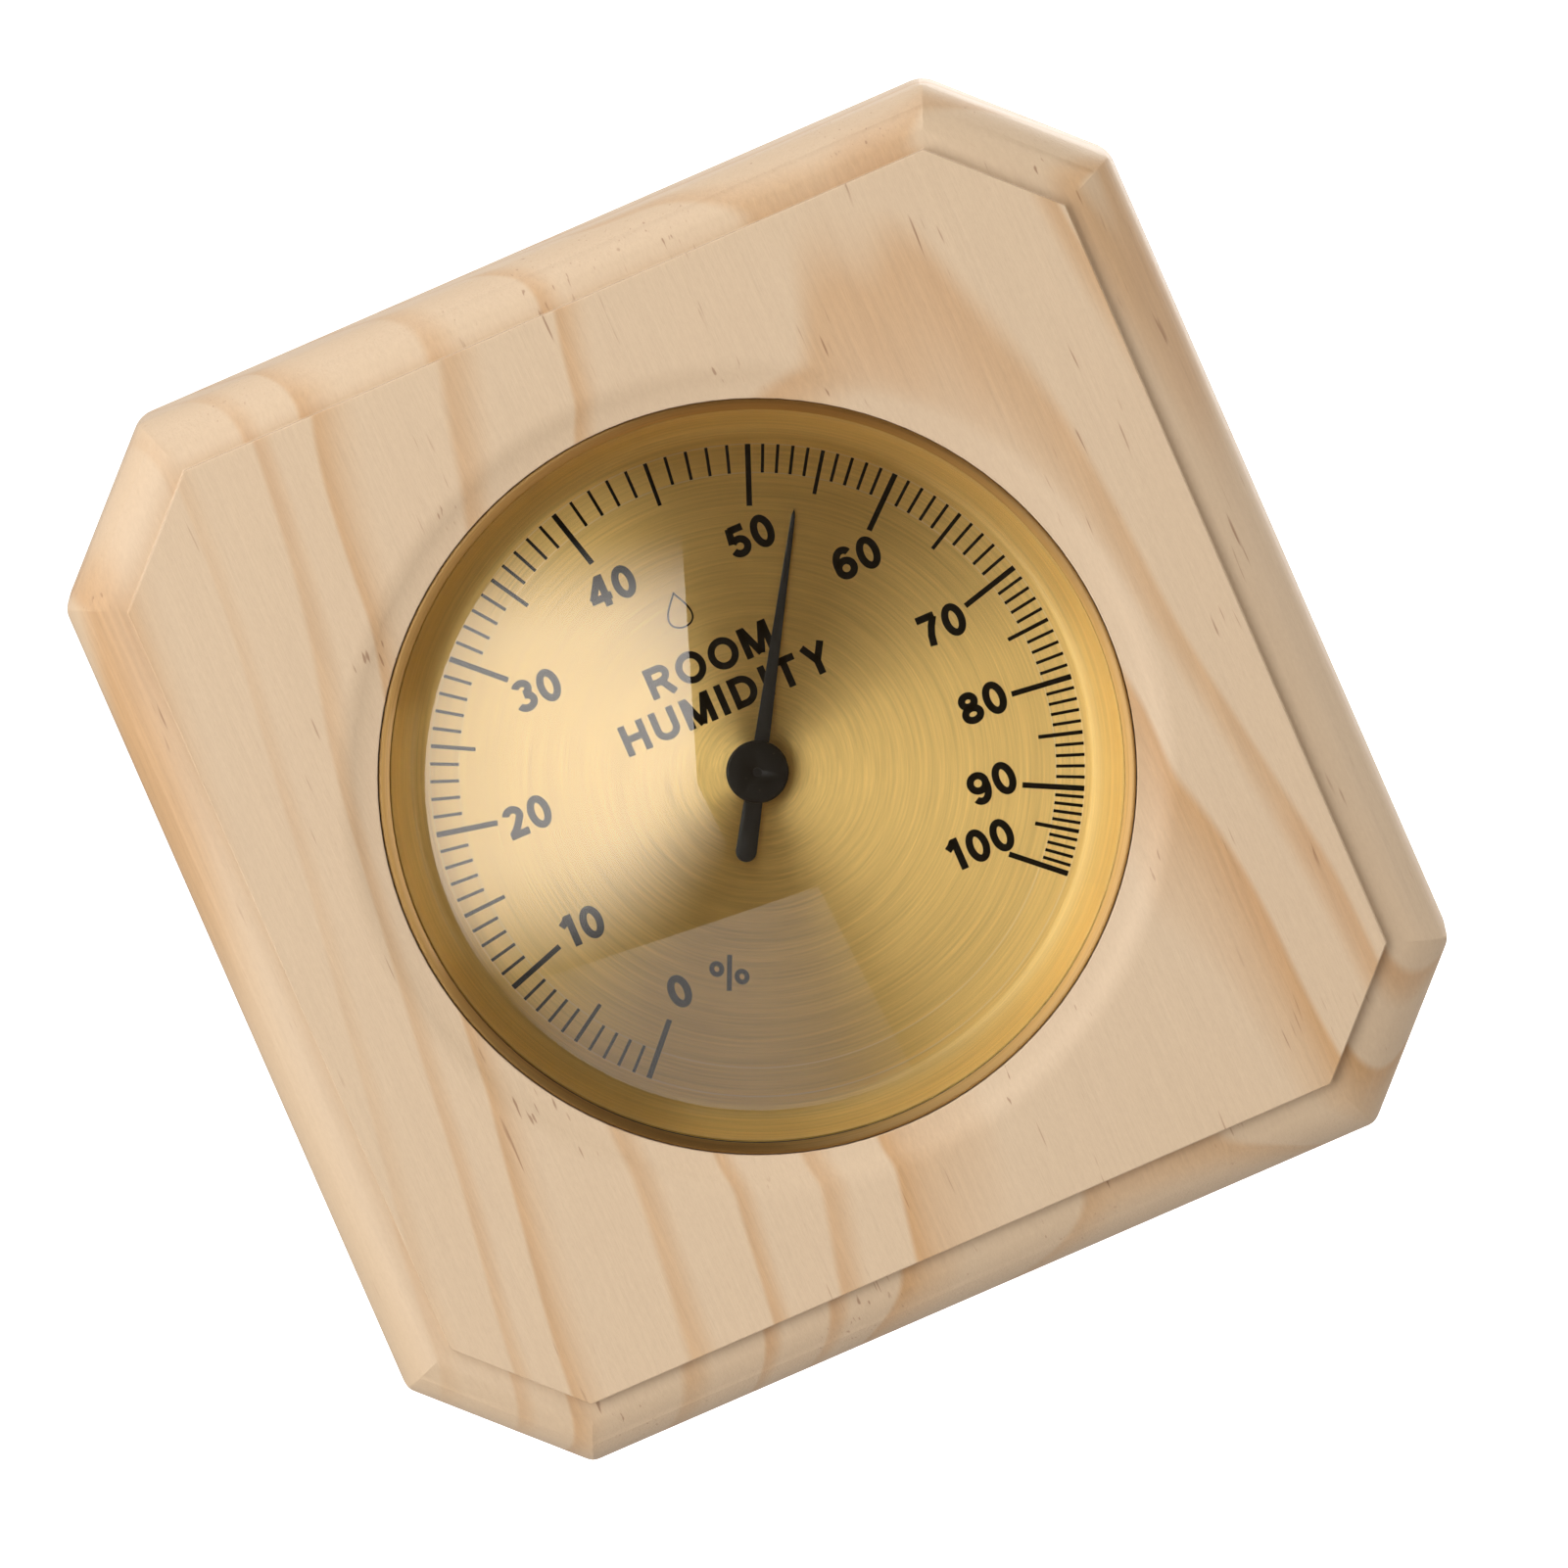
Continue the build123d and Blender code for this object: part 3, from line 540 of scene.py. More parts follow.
def brushed_brass(name, colour, roughness, hairlines=()):
    """Lacquered brass with rings: bright fans, a warm yellow, and a faint shimmer of arcs."""
    made, tree = new_material(name)
    radius, across, marks = across_rings(tree)

    # each ring is a little lighter or darker than the next, and so is each group of rings
    fine = add(tree, NOISE, {"Vector": marks, "Scale": 1.0, "Detail": 3.0, "Roughness": 0.7})
    grouped = add(tree, VECTOR, (marks, (0.12, 0.5, 0.5)), operation="MULTIPLY")
    broad = add(tree, NOISE, {"Vector": grouped, "Scale": 1.0, "Detail": 2.0})
    shade = swing(tree, broad, 0.14, swing(tree, fine, 0.70, 1.0))

    # the cove's colour is a shade darker than the flat's, and the abrasive reaches the cove less, so it is
    # rougher too
    in_cove = add(tree, STEP, (radius, COVE_INNER, COVE_INNER + 1.5), **SMOOTHLY)
    darker = add(tree, MATHS, (in_cove, -0.05, 1.0), operation="MULTIPLY_ADD")
    shade = add(tree, MATHS, (shade, darker), operation="MULTIPLY")
    rough = swing(tree, fine, 0.14, roughness)
    rough = add(tree, MATHS, (in_cove, 0.10, rough), operation="MULTIPLY_ADD")

    # hairlines, scribed for the printer to line the ticks up with; their pale colour is a painted glint, the
    # light that a scribed line catches
    tone = add(tree, VECTOR, {0: linear(colour)[:3], "Scale": shade}, operation="SCALE")
    for line in hairlines:
        away = add(tree, MATHS, (radius, line), operation="SUBTRACT")
        away = add(tree, MATHS, (away,), operation="ABSOLUTE")
        beside = add(tree, STEP, (away, 0.05, 0.12), **SMOOTHLY)
        painted_glint = add(tree, MATHS, (1.0, beside), operation="SUBTRACT")
        painted_glint = add(tree, MATHS, (painted_glint, 0.22), operation="MULTIPLY")
        tone = add(tree, MIX, {SHARE: painted_glint, FIRST: tone, SECOND: HAIRLINE_GLINT}, **COLOURS)

    bump = add(tree, "ShaderNodeBump", {"Height": fine, "Strength": 0.25, "Distance": 0.02 * MM})
    surface(tree, Base_Color=tone, Metallic=1.0, Roughness=rough, Anisotropic=0.97, Tangent=across,
            Coat_Weight=0.25, Coat_Roughness=0.12, Normal=bump)
    return made


DIAL_BRASS = brushed_brass("spun_brass_dial", "#EDC87E", 0.40, (TICK_CIRCLE, TICK_CIRCLE - SHORT_TICK))
BEZEL_BRASS = brushed_brass("spun_brass_bezel", "#CFA869", 0.42)
print("dial brass has", len(DIAL_BRASS.node_tree.nodes), "nodes")

# %% [markdown]
# ## Dial and bezel
# The dial's profile is a flat sheet whose edge sweeps up in a quarter of an ellipse and ends in a
# small flange. The bezel is a thin tube whose top folds in as a sloping lip. Both are closed
# profiles, so the turned pieces are closed sheets with a real thickness.

# %% Dial and bezel
SHEET = 0.5              # mm, the dial's brass sheet
FLANGE = 0.45            # mm, the same sheet where pressing has thinned it
DIAL_BORE = 2.0          # mm, radius of the hole for the bush
COVE_OUTER = 48.3        # mm, radius at the top of the cove
COVE_POINTS = 28
FLAT_RINGS = 6
ROUND_STEPS = 300
BEZEL_SHEET = 0.45       # mm
FOLD = 0.3               # mm, radius of the folded edge
LIP = 48.45              # mm, radius of the lip's inner edge
LIP_BACK = -21.25        # mm, depth of the lip's back


def quarter(centre, half_width, half_depth, count):
    """A quarter of an ellipse, from the flat at its foot to the upright at its top."""
    turns = [math.pi / 2 * i / count for i in range(count + 1)]
    return [(centre[0] + half_width * math.sin(t), centre[1] + half_depth * math.cos(t)) for t in turns]


def dial_profile():
    """Closed outline of the dial, as radius and depth in mm."""
    face, rim = dial_face / MM, dial_low.y / MM
    back, flange, outer = face + SHEET, rim + FLANGE, dial_high.x / MM
    cove_width = COVE_OUTER - COVE_INNER
    front_cove = quarter((COVE_INNER, rim), cove_width, face - rim, COVE_POINTS)
    back_cove = quarter((COVE_INNER, flange), cove_width + FLANGE, back - flange, COVE_POINTS)
    flat_width = COVE_INNER - DIAL_BORE
    flat = [(DIAL_BORE + flat_width * i / FLAT_RINGS, face) for i in range(FLAT_RINGS)]
    loop = flat + front_cove + [(outer, rim), (outer, flange)] + back_cove[::-1] + [(DIAL_BORE, back)]
    return loop + loop[:1]


def bezel_profile():
    """Closed outline of the bezel, with its folded edge rounded over."""
    outer, top, foot = bezel_high.x / MM, bezel_low.y / MM, bezel_high.y / MM
    inner = outer - BEZEL_SHEET
    turns = [math.pi / 2 * i / 5 for i in range(6)]
    rounded = [(outer - FOLD + FOLD * math.cos(t), top + FOLD - FOLD * math.sin(t)) for t in turns]
    slope = [(outer - FOLD - 0.3, top + 0.12), (LIP + 0.10, LIP_BACK - 0.42), (LIP, LIP_BACK - 0.28)]
    loop = [(inner, foot), (outer, foot)] + rounded + slope + [(LIP, LIP_BACK), (inner, LIP_BACK)]
    return loop + loop[:1]


def turned_piece(name, profile, finish, node):
    """A closed profile turned about Y, standing for one CAD node of the case."""
    points = [(r * MM, y * MM, 0) for r, y in profile]
    made = grown(name, points, LATHE, Steps=ROUND_STEPS, Finish=finish)
    outward(made.data)
    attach(made, "case")
    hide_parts(node)
    print(name, "has", len(made.data.polygons), "faces")


turned_piece("brass_dial", dial_profile(), DIAL_BRASS, "dial_pan")
turned_piece("brass_bezel", bezel_profile(), BEZEL_BRASS, "bezel_ring")

# %% [markdown]
# ## The scale
# A coil of treated strip does not swell evenly, so a humidity scale is not evenly divided: the
# divisions open out in the middle and crowd towards the wet end. Between two tens they are even.
# The places of the eleven tens are therefore the scale's own data, and a loop fills in the rest.
# Each tick is one point that carries its turn, its length and its width, and one tree inks them all.

# %% Ticks in Geometry Nodes
TENS = (-137.1, -108.2, -77.9, -46.5, -15.0, 21.8, 48.4, 75.1, 96.8, 116.7, 132.0)   # degrees, clockwise
TICK_SIZES = {10: (8.2, 0.74), 5: (5.9, 0.52), 1: (SHORT_TICK, 0.42)}                   # length, width in mm
INK_DEPTH = 0.03         # mm; real ink is thinner, but would flicker against the brass
INK_PROUD = 0.2          # share of that depth from the brass to the ink's middle
ink_middle = dial_face - INK_PROUD * INK_DEPTH * MM


def scale_turn(percent):
    """Where a reading stands on the scale, in radians clockwise from the top."""
    ten = min(percent // 10, 9)
    return math.radians(TENS[ten] + (TENS[ten + 1] - TENS[ten]) * (percent - 10 * ten) / 10)


def tick_tree():
    """One inked bar for each point, from the tick circle inwards."""
    tree, given = new_geometry_tree("inked_ticks", {
        "Circle": "Float", "Depth": "Float", "Thickness": "Float", "Ink": "Material"})
    turn, length, width = [
        add(tree, "GeometryNodeInputNamedAttribute", {"Name": name}, data_type="FLOAT")
        for name in ("turn", "length", "width")]
    sine = add(tree, MATHS, (turn,), operation="SINE")
    cosine = add(tree, MATHS, (turn,), operation="COSINE")
    x = add(tree, MATHS, (given["Circle"], sine), operation="MULTIPLY")
    z = add(tree, MATHS, (given["Circle"], cosine), operation="MULTIPLY")
    place = add(tree, "ShaderNodeCombineXYZ", (x, given["Depth"], z))
    placed = add(tree, "GeometryNodeSetPosition", {"Geometry": given["Geometry"], "Position": place})

    bar = add(tree, "GeometryNodeMeshCube", {"Size": (1, 1, 1)})
    hung = add(tree, "GeometryNodeTransform", {"Geometry": bar, "Translation": (0, 0, -0.5)})
    bars = add(tree, "GeometryNodeInstanceOnPoints", {
        "Points": placed, "Instance": hung,
        "Rotation": add(tree, "ShaderNodeCombineXYZ", {"Y": turn}),
        "Scale": add(tree, "ShaderNodeCombineXYZ", (width, given["Thickness"], length))})
    end_geometry_tree(tree, bars, given["Ink"])
    return tree


def printing_ink():
    """Screen-printed black ink: dead black and slightly glossy, with a thin worn grain."""
    made, tree = new_material("screen_printed_ink")
    grain = add(tree, NOISE, {"Vector": sized(tree, 0.15, 0.15, 0.15), "Scale": 1.0, "Detail": 2.0})
    worn = add(tree, STEP, (grain, 0.45, 0.8), **SMOOTHLY)
    tone = add(tree, MIX, {SHARE: worn, FIRST: linear("#050403"), SECOND: linear("#14110E")}, **COLOURS)
    surface(tree, Base_Color=tone, Roughness=0.5, Specular_IOR_Level=0.08)
    return made


INK = printing_ink()
tick_turns = [scale_turn(percent) for percent in range(101)]
tick_sizes = [TICK_SIZES[10 if n % 10 == 0 else 5 if n % 5 == 0 else 1] for n in range(101)]
ticks = grown("scale_ticks", [(0, 0, 0)] * len(tick_turns), tick_tree(),
              {"turn": tick_turns,
               "length": [length * MM for length, width in tick_sizes],
               "width": [width * MM for length, width in tick_sizes]},
              Circle=TICK_CIRCLE * MM, Depth=ink_middle, Thickness=INK_DEPTH * MM, Ink=INK)
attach(ticks, "case")
print(len(tick_turns), "ticks have", len(ticks.data.polygons), "faces; the first stands at",
      round(math.degrees(tick_turns[0]), 1), "degrees")

# %% [markdown]
# ## Figures and words
# The figures stand upright and follow the scale. Blender's own font is too light for them, and it
# clogs when it is made bold, so each character is drawn here as a signwriter would: a few strokes of
# one width. A stroke is a line through its own middle, straight or bent round an ellipse, and a
# helper gives it width and a little thickness, so that every stroke is a closed solid.

# %% Strokes
FIGURE_HEIGHT = 4.35     # mm
FIGURE_CIRCLE = 31.0     # mm, middle of each figure
WORD_HEIGHT = 4.2        # mm
STROKE = 0.225           # width of a stroke, as a share of the height
TOP, FOOT = 1 - STROKE / 2, STROKE / 2   # middles of the highest and the lowest level stroke


def bent(x, y, half_width, half_height, start, end, count=18):
    """Points round part of an ellipse, its angles in degrees from the right."""
    turns = [math.radians(start + (end - start) * i / count) for i in range(count + 1)]
    return [(x + half_width * math.cos(t), y + half_height * math.sin(t)) for t in turns]


def flipped(strokes, width):
    """A character turned upside down in its own box, as a 9 is a 6."""
    return [[(width - x, 1 - y) for x, y in stroke] for stroke in strokes]


SIX = [bent(0.33, 0.33, 0.235, 0.235, 0, 360, 28),
       bent(0.37, 0.45, 0.275, TOP - 0.45, 185, 90) + bent(0.37, 0.70, 0.20, TOP - 0.70, 80, 22, 8)]
# each character: its width as a share of its height, and its strokes
CHARACTERS = {
    "0": (0.66, [bent(0.33, 0.5, 0.235, 0.405, 0, 360, 32)]),
    "1": (0.50, [[(0.34, 0), (0.34, 1)], [(0.30, 0.92), (0.20, 0.80), (0.06, 0.71)]]),
    "2": (0.66, [bent(0.33, 0.69, 0.21, TOP - 0.69, 165, -30) + [(0.34, 0.34), (0.12, FOOT + 0.02)],
                 [(0.04, FOOT), (0.64, FOOT)]]),
    "3": (0.66, [bent(0.32, 0.715, 0.20, TOP - 0.715, 160, -90),
                 bent(0.31, 0.31, 0.24, 0.31 - FOOT, 90, -162)]),
    "4": (0.70, [[(0.50, 0), (0.50, 1)], [(0.47, 0.94), (0.08, 0.30)], [(0.02, 0.29), (0.68, 0.29)]]),
    "5": (0.66, [[(0.16, TOP), (0.60, TOP)], [(0.185, 0.96), (0.12, 0.47)],
                 bent(0.32, 0.34, 0.235, 0.34 - FOOT, 140, -160)]),
    "6": (0.66, SIX),
    "7": (0.66, [[(0.04, TOP), (0.62, TOP)], [(0.58, 0.86), (0.42, 0.58), (0.32, 0.32), (0.27, 0)]]),
    "8": (0.66, [bent(0.33, 0.715, 0.195, TOP - 0.715, 0, 360, 26),
                 bent(0.33, 0.30, 0.235, 0.30 - FOOT, 0, 360, 26)]),
    "9": (0.66, flipped(SIX, 0.66)),
    "D": (0.82, [[(0.10, 0), (0.10, 1)],
                 [(0.08, TOP), (0.32, TOP)] + bent(0.34, 0.5, 0.37, TOP - 0.5, 90, -90)
                 + [(0.32, FOOT), (0.08, FOOT)]]),
    "H": (0.80, [[(0.10, 0), (0.10, 1)], [(0.70, 0), (0.70, 1)], [(0.10, 0.52), (0.70, 0.52)]]),
    "I": (0.20, [[(0.10, 0), (0.10, 1)]]),
    "M": (0.96, [[(0.10, 0), (0.10, 1)], [(0.86, 0), (0.86, 1)], [(0.13, 0.97), (0.48, 0.04)],
                 [(0.83, 0.97), (0.48, 0.04)]]),
    "O": (0.94, [bent(0.47, 0.5, 0.375, 0.405, 0, 360, 32)]),
    "R": (0.82, [[(0.10, 0), (0.10, 1)],
                 [(0.08, TOP), (0.42, TOP)] + bent(0.45, 0.69, 0.21, TOP - 0.69, 90, -90)
                 + [(0.42, 0.475), (0.08, 0.475)],
                 [(0.46, 0.46), (0.74, 0)]]),
    "T": (0.76, [[(0.38, 0), (0.38, 1)], [(0, TOP), (0.76, TOP)]]),
    "U": (0.80, [[(0.10, 1), (0.10, 0.38)] + bent(0.40, 0.38, 0.30, 0.38 - FOOT, 180, 360)
                 + [(0.70, 0.38), (0.70, 1)]]),
    "Y": (0.80, [[(0.08, 1), (0.40, 0.45)], [(0.72, 1), (0.40, 0.45)], [(0.40, 0.47), (0.40, 0)]]),
    "%": (1.05, [bent(0.22, 0.76, 0.15, 0.17, 0, 360, 20), bent(0.83, 0.24, 0.15, 0.17, 0, 360, 20),
                 [(0.30, 0), (0.75, 1)]]),
}
print("characters drawn:", "".join(CHARACTERS))

# %% Ink the strokes
INK_LEVELS = (ink_middle - INK_DEPTH * MM / 2, ink_middle + INK_DEPTH * MM / 2)
SHARPEST_MITRE = 0.5     # a bend tighter than this is not drawn out to a longer point
PERCENT_STROKE = 0.15
PERCENT_PLACE = (-14.1, -23.1)   # mm
# each word's height above the dial's middle in mm, and its gaps as a share of its letters' height
WORDS = {"ROOM": (16.0, 0.17), "HUMIDITY": (10.4, 0.24)}


def band(work, points, width, closed):
    """A flat closed bar of the given width along points, which are x and z in mm."""
    sides = []
    count = len(points)
    for i, point in enumerate(points):
        before = points[i - 1] if closed or i else point
        after = points[(i + 1) % count] if closed or i < count - 1 else point
        first, second = (point - before), (after - point)
        along = (first.normalized() + second.normalized()).normalized()
        out = Vector((-along.y, along.x))
        longest = max(first.length, second.length)
        bend = abs(along.dot((first if first.length == longest else second).normalized()))
        reach = width / 2 / max(bend, SHARPEST_MITRE)
        corners = []
        for aside, level in ((-reach, 0), (reach, 0), (reach, 1), (-reach, 1)):
            x, z = point.x + aside * out.x, point.y + aside * out.y
            corners.append(work.verts.new((x * MM, INK_LEVELS[level], z * MM)))
        sides.append(corners)
    pairs = list(zip(sides, sides[1:])) + ([(sides[-1], sides[0])] if closed else [])
    for here, there in pairs:
        for k in range(4):
            j = (k + 1) % 4
            work.faces.new((here[k], here[j], there[j], there[k]))
    if not closed:
        work.faces.new(sides[0])
        work.faces.new(sides[-1][::-1])


def lettering(text, height, x, z, stroke=STROKE, gap=0.13):
    """A text as a mesh centred on x and z in mm, facing forwards. gap is the space between characters."""
    work = bmesh.new()
    total = sum(CHARACTERS[c][0] + gap for c in text) - gap
    cursor = -total / 2
    for c in text:
        for line in CHARACTERS[c][1]:
            points = [Vector((x + (cursor + px) * height, z + (py - 0.5) * height)) for px, py in line]
            closed = len(points) > 12 and (points[0] - points[-1]).length < 0.01
            if closed:
                points = points[:-1]
            band(work, points, stroke * height, closed)
        cursor += CHARACTERS[c][0] + gap
    mesh = bpy.data.meshes.new("letters")
    work.to_mesh(mesh)
    work.free()
    return mesh


def joined(name, meshes, finish, body):
    """Several meshes as one piece that rides on a body."""
    work = bmesh.new()
    for mesh in meshes:
        work.from_mesh(mesh)
        bpy.data.meshes.remove(mesh)
    whole = bpy.data.meshes.new(name)
    bmesh.ops.recalc_face_normals(work, faces=work.faces)
    work.to_mesh(whole)
    work.free()
    whole.materials.clear()
    whole.materials.append(finish)
    made = new_object(name, whole)
    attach(made, body)
    print(name, "has", len(whole.polygons), "faces")


figures = []
for ten in range(0, 101, 10):
    around = scale_turn(ten)
    place = FIGURE_CIRCLE * math.sin(around), FIGURE_CIRCLE * math.cos(around)
    figures.append(lettering(str(ten), FIGURE_HEIGHT, *place))
figures.append(lettering("%", FIGURE_HEIGHT, *PERCENT_PLACE, stroke=PERCENT_STROKE))
joined("scale_figures", figures, INK, "case")
dial_words = [lettering(text, WORD_HEIGHT, 0.0, z, gap=gap) for text, (z, gap) in WORDS.items()]
joined("dial_words", dial_words, INK, "case")

# %% [markdown]
# ## The drop
# A small water drop stands over the words. It is a formula, not a drawing: a circle whose width
# shrinks towards the top. The line is the band between that curve and the same curve pushed out.

# %% Drop outline
DROP_MIDDLE = (-1.1, 23.6)   # mm
DROP_HALF = (1.75, 2.35)     # mm, half width and half height
DROP_LINE = 0.24             # mm
DROP_LEAN = math.radians(-7)
DROP_POINTS = 60
DROP_TAPER = 1.4             # how fast the top narrows
DROP_FULLNESS = 1.3          # gives back the width that the taper takes


def drop_loop(grow):
    """Points of the drop, each pushed outwards by grow mm."""
    points = []
    for i in range(DROP_POINTS):
        t = 2 * math.pi * i / DROP_POINTS
        aside = DROP_HALF[0] * math.sin(t) * math.sin(t / 2) ** DROP_TAPER * DROP_FULLNESS
        points.append(Vector((aside, DROP_HALF[1] * math.cos(t))))
    pushed = []
    for i, point in enumerate(points):
        along = points[(i + 1) % DROP_POINTS] - points[i - 1]
        pushed.append(point + Vector((-along.y, along.x)).normalized() * grow)
    lean = Matrix.Rotation(DROP_LEAN, 2)
    return [lean @ p for p in pushed]


def drop_mesh():
    """The drop's line as a closed band of ink."""
    inner, outer = drop_loop(-DROP_LINE / 2), drop_loop(DROP_LINE / 2)
    front, back = INK_LEVELS
    work = bmesh.new()
    layers = []
    for loop, depth in ((inner, front), (inner, back), (outer, back), (outer, front)):
        layers.append([work.verts.new(((DROP_MIDDLE[0] + p.x) * MM, depth, (DROP_MIDDLE[1] + p.y) * MM))
                       for p in loop])
    for a, b in zip(layers, layers[1:] + layers[:1]):
        for i in range(DROP_POINTS):
            j = (i + 1) % DROP_POINTS
            work.faces.new((a[i], a[j], b[j], b[i]))
    mesh = bpy.data.meshes.new("drop")
    work.to_mesh(mesh)
    work.free()
    return mesh


joined("dial_drop", [drop_mesh()], INK, "case")

# %% [markdown]
# ## Pointer
# The hand is stamped from thin sheet and blackened, so its edges are crisp but not sharp. Its cap is
# moulded plastic. Both are the CAD's own shapes with eased edges, which is what lets a black thing
# on a bright dial be read as solid.

# %% Pointer and cap
def blackened_sheet():
    """Stamped sheet, chemically blackened: soft grey gloss along its edges and a faint rolled grain."""
    made, tree = new_material("blackened_sheet")
    grain = add(tree, NOISE, {"Vector": sized(tree, 0.25, 0.25, 0.8), "Scale": 1.0, "Detail": 3.0})
    tone = add(tree, MIX, {SHARE: grain, FIRST: linear("#0C0C0C"), SECOND: linear("#1D1B1A")}, **COLOURS)
    rough = add(tree, MATHS, (grain, 0.2, 0.34), operation="MULTIPLY_ADD")
    bump = add(tree, "ShaderNodeBump", {"Height": grain, "Strength": 0.3, "Distance": 0.01 * MM})
    surface(tree, Base_Color=tone, Roughness=rough, Specular_IOR_Level=0.3, Normal=bump)
    return made


def moulded_black():
    """Moulded black ABS: an even satin with a fine spark-eroded grain and a few dust specks."""
    made, tree = new_material("moulded_black_plastic")
    grain = add(tree, NOISE, {"Vector": sized(tree, 0.12, 0.12, 0.12), "Scale": 1.0, "Detail": 2.0})
    tone = add(tree, MIX, {SHARE: grain, FIRST: linear("#080707"), SECOND: linear("#11100F")}, **COLOURS)
    speck = add(tree, "ShaderNodeTexVoronoi", {"Vector": sized(tree, 0.9, 0.9, 0.9), "Scale": 1.0})
    clean = add(tree, STEP, (speck, 0.05, 0.09), **SMOOTHLY)
    dusty = add(tree, MATHS, (1.0, clean), operation="SUBTRACT")
    dusty = add(tree, MATHS, (dusty, 0.35), operation="MULTIPLY")
    tone = add(tree, MIX, {SHARE: dusty, FIRST: tone, SECOND: linear("#8C8478")}, **COLOURS)
    bump = add(tree, "ShaderNodeBump", {"Height": grain, "Strength": 0.35, "Distance": 0.02 * MM})
    surface(tree, Base_Color=tone, Roughness=0.38, Specular_IOR_Level=0.22, Normal=bump)
    return made


def eased_piece(node, name, finish, width, angle, body):
    """One CAD node, eased and finished, riding where the node did. width is in mm, angle in degrees."""
    made = eased_copy(node, name, width * MM, angle)
    made.data.materials.append(finish)
    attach(made, body)
    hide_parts(node)
    print(name, "has", len(made.data.polygons), "faces")


eased_piece("pointer_blade", "pointer_hand", blackened_sheet(), 0.06, 30, "pointer")
eased_piece("pointer_hub", "pointer_cap", moulded_black(), 0.03, 50, "pointer")

# %% [markdown]
# ## Crystal
# A flat clear disc lies over the dial. Light has to reach the dial through it, and a path tracer
# would treat it as a solid block in the way, so for shadow rays only it is made transparent.

# %% Crystal
def clear_glass():
    """Float glass: clean, flat and clear, seen only by what it reflects."""
    made, tree = new_material("float_glass")
    glass = add(tree, "ShaderNodeBsdfPrincipled", {
        "Base Color": linear("#FBFDFB"), "Roughness": 0.0, "IOR": 1.5, "Transmission Weight": 1.0})
    clear = add(tree, "ShaderNodeBsdfTransparent", {"Color": linear("#F4F8F5")})
    shadow = add(tree, "ShaderNodeLightPath").outputs["Is Shadow Ray"]
    either = add(tree, "ShaderNodeMixShader", (shadow, glass, clear))
    add(tree, "ShaderNodeOutputMaterial", {"Surface": either})
    return made


GLASS = clear_glass()
print("glass has", len(GLASS.node_tree.nodes), "nodes")

# %% [markdown]
# ## The rest of the mechanism
# Everything behind the dial keeps its CAD shape, because it is already what it should be. Each node
# only needs the finish of its metal. A table says which finish goes on which nodes.

# %% Finishes for the CAD pieces
def laminate():
    """Strip metal with a baked salt-and-polymer coat: brown, matt and slightly blotchy."""
    made, tree = new_material("coated_strip")
    blotch = add(tree, NOISE, {"Vector": sized(tree, 1.2, 1.2, 1.2), "Scale": 1.0, "Detail": 3.0})
    tone = add(tree, MIX, {SHARE: blotch, FIRST: linear("#6A4A2C"), SECOND: linear("#96704A")}, **COLOURS)
    rough = add(tree, MATHS, (blotch, 0.2, 0.45), operation="MULTIPLY_ADD")
    surface(tree, Base_Color=tone, Roughness=rough, Specular_IOR_Level=0.4)
    return made


def rubber():
    """Cut rubber sheet: nearly black, dull, with a talc bloom."""
    made, tree = new_material("cut_rubber")
    bloom = add(tree, NOISE, {"Vector": sized(tree, 0.8, 0.8, 0.8), "Scale": 1.0, "Detail": 3.0})
    bloom = add(tree, STEP, (bloom, 0.4, 0.8), **SMOOTHLY)
    tone = add(tree, MIX, {SHARE: bloom, FIRST: linear("#171615"), SECOND: linear("#34322F")}, **COLOURS)
    surface(tree, Base_Color=tone, Roughness=0.8, Specular_IOR_Level=0.3)
    return made


def mottled_metal(name, colour, roughness, mottle, size, stripe=1.0):
    """Plain metal as it comes from its maker. mottle is how uneven its shade is, and size how many
    mm across each patch is, stretched upwards by stripe where rolling or drawing has drawn it out."""
    made, tree = new_material(name)
    cloud = add(tree, NOISE, {"Vector": sized(tree, size, size, size * stripe), "Scale": 1.0,
                              "Detail": 4.0, "Roughness": 0.6})
    shade = swing(tree, cloud, mottle, 1.0)
    tone = add(tree, VECTOR, {0: linear(colour)[:3], "Scale": shade}, operation="SCALE")
    rough = swing(tree, cloud, 0.25, roughness)
    bump = add(tree, "ShaderNodeBump", {"Height": cloud, "Strength": 0.2, "Distance": 0.03 * MM})
    surface(tree, Base_Color=tone, Metallic=1.0, Roughness=rough, Normal=bump)
    return made


# Blued steel is dark. Zinc plate is bright and a little cloudy. Tinplate is dull, its patches drawn
# out upwards. The movement's brass is as the press and the lathe leave it.
BLUED_STEEL = mottled_metal("blued_steel", "#3B3A3C", 0.36, 0.25, 0.4)
ZINC = mottled_metal("bright_zinc_plate", "#B4B8BE", 0.34, 0.35, 1.4)
TINPLATE = mottled_metal("drawn_tinplate", "#A9ABAD", 0.40, 0.30, 6.0, stripe=3.0)
WORKS_BRASS = mottled_metal("turned_brass", "#C9A45A", 0.33, 0.30, 1.0)
FINISHES = (
    (GLASS, ("crystal",)),
    (rubber(), ("crystal_gasket",)),
    (laminate(), ("humidity_coil",)),
    (BLUED_STEEL, ("pointer_arbor",)),
    (TINPLATE, ("case_body", "cover_lugs", "back_cover")),
    (ZINC, ("hanger_plate", "hanger_screws", "cover_screws", "case_clips", "clip_screws", "bridge_screws",
            "adjuster_spring_washer", "adjuster_clip")),
    (WORKS_BRASS, ("dial_feet", "movement_plate", "movement_pillars", "front_bush", "rear_bridge",
                   "adjuster_stud", "adjuster_arm", "coil_post", "coil_collet")),
)
for finish, nodes in FINISHES:
    for node in nodes:
        for material_slot in frame["nodes"][node].material_slots:
            material_slot.material = finish
    print(finish.name, "on", ", ".join(nodes))

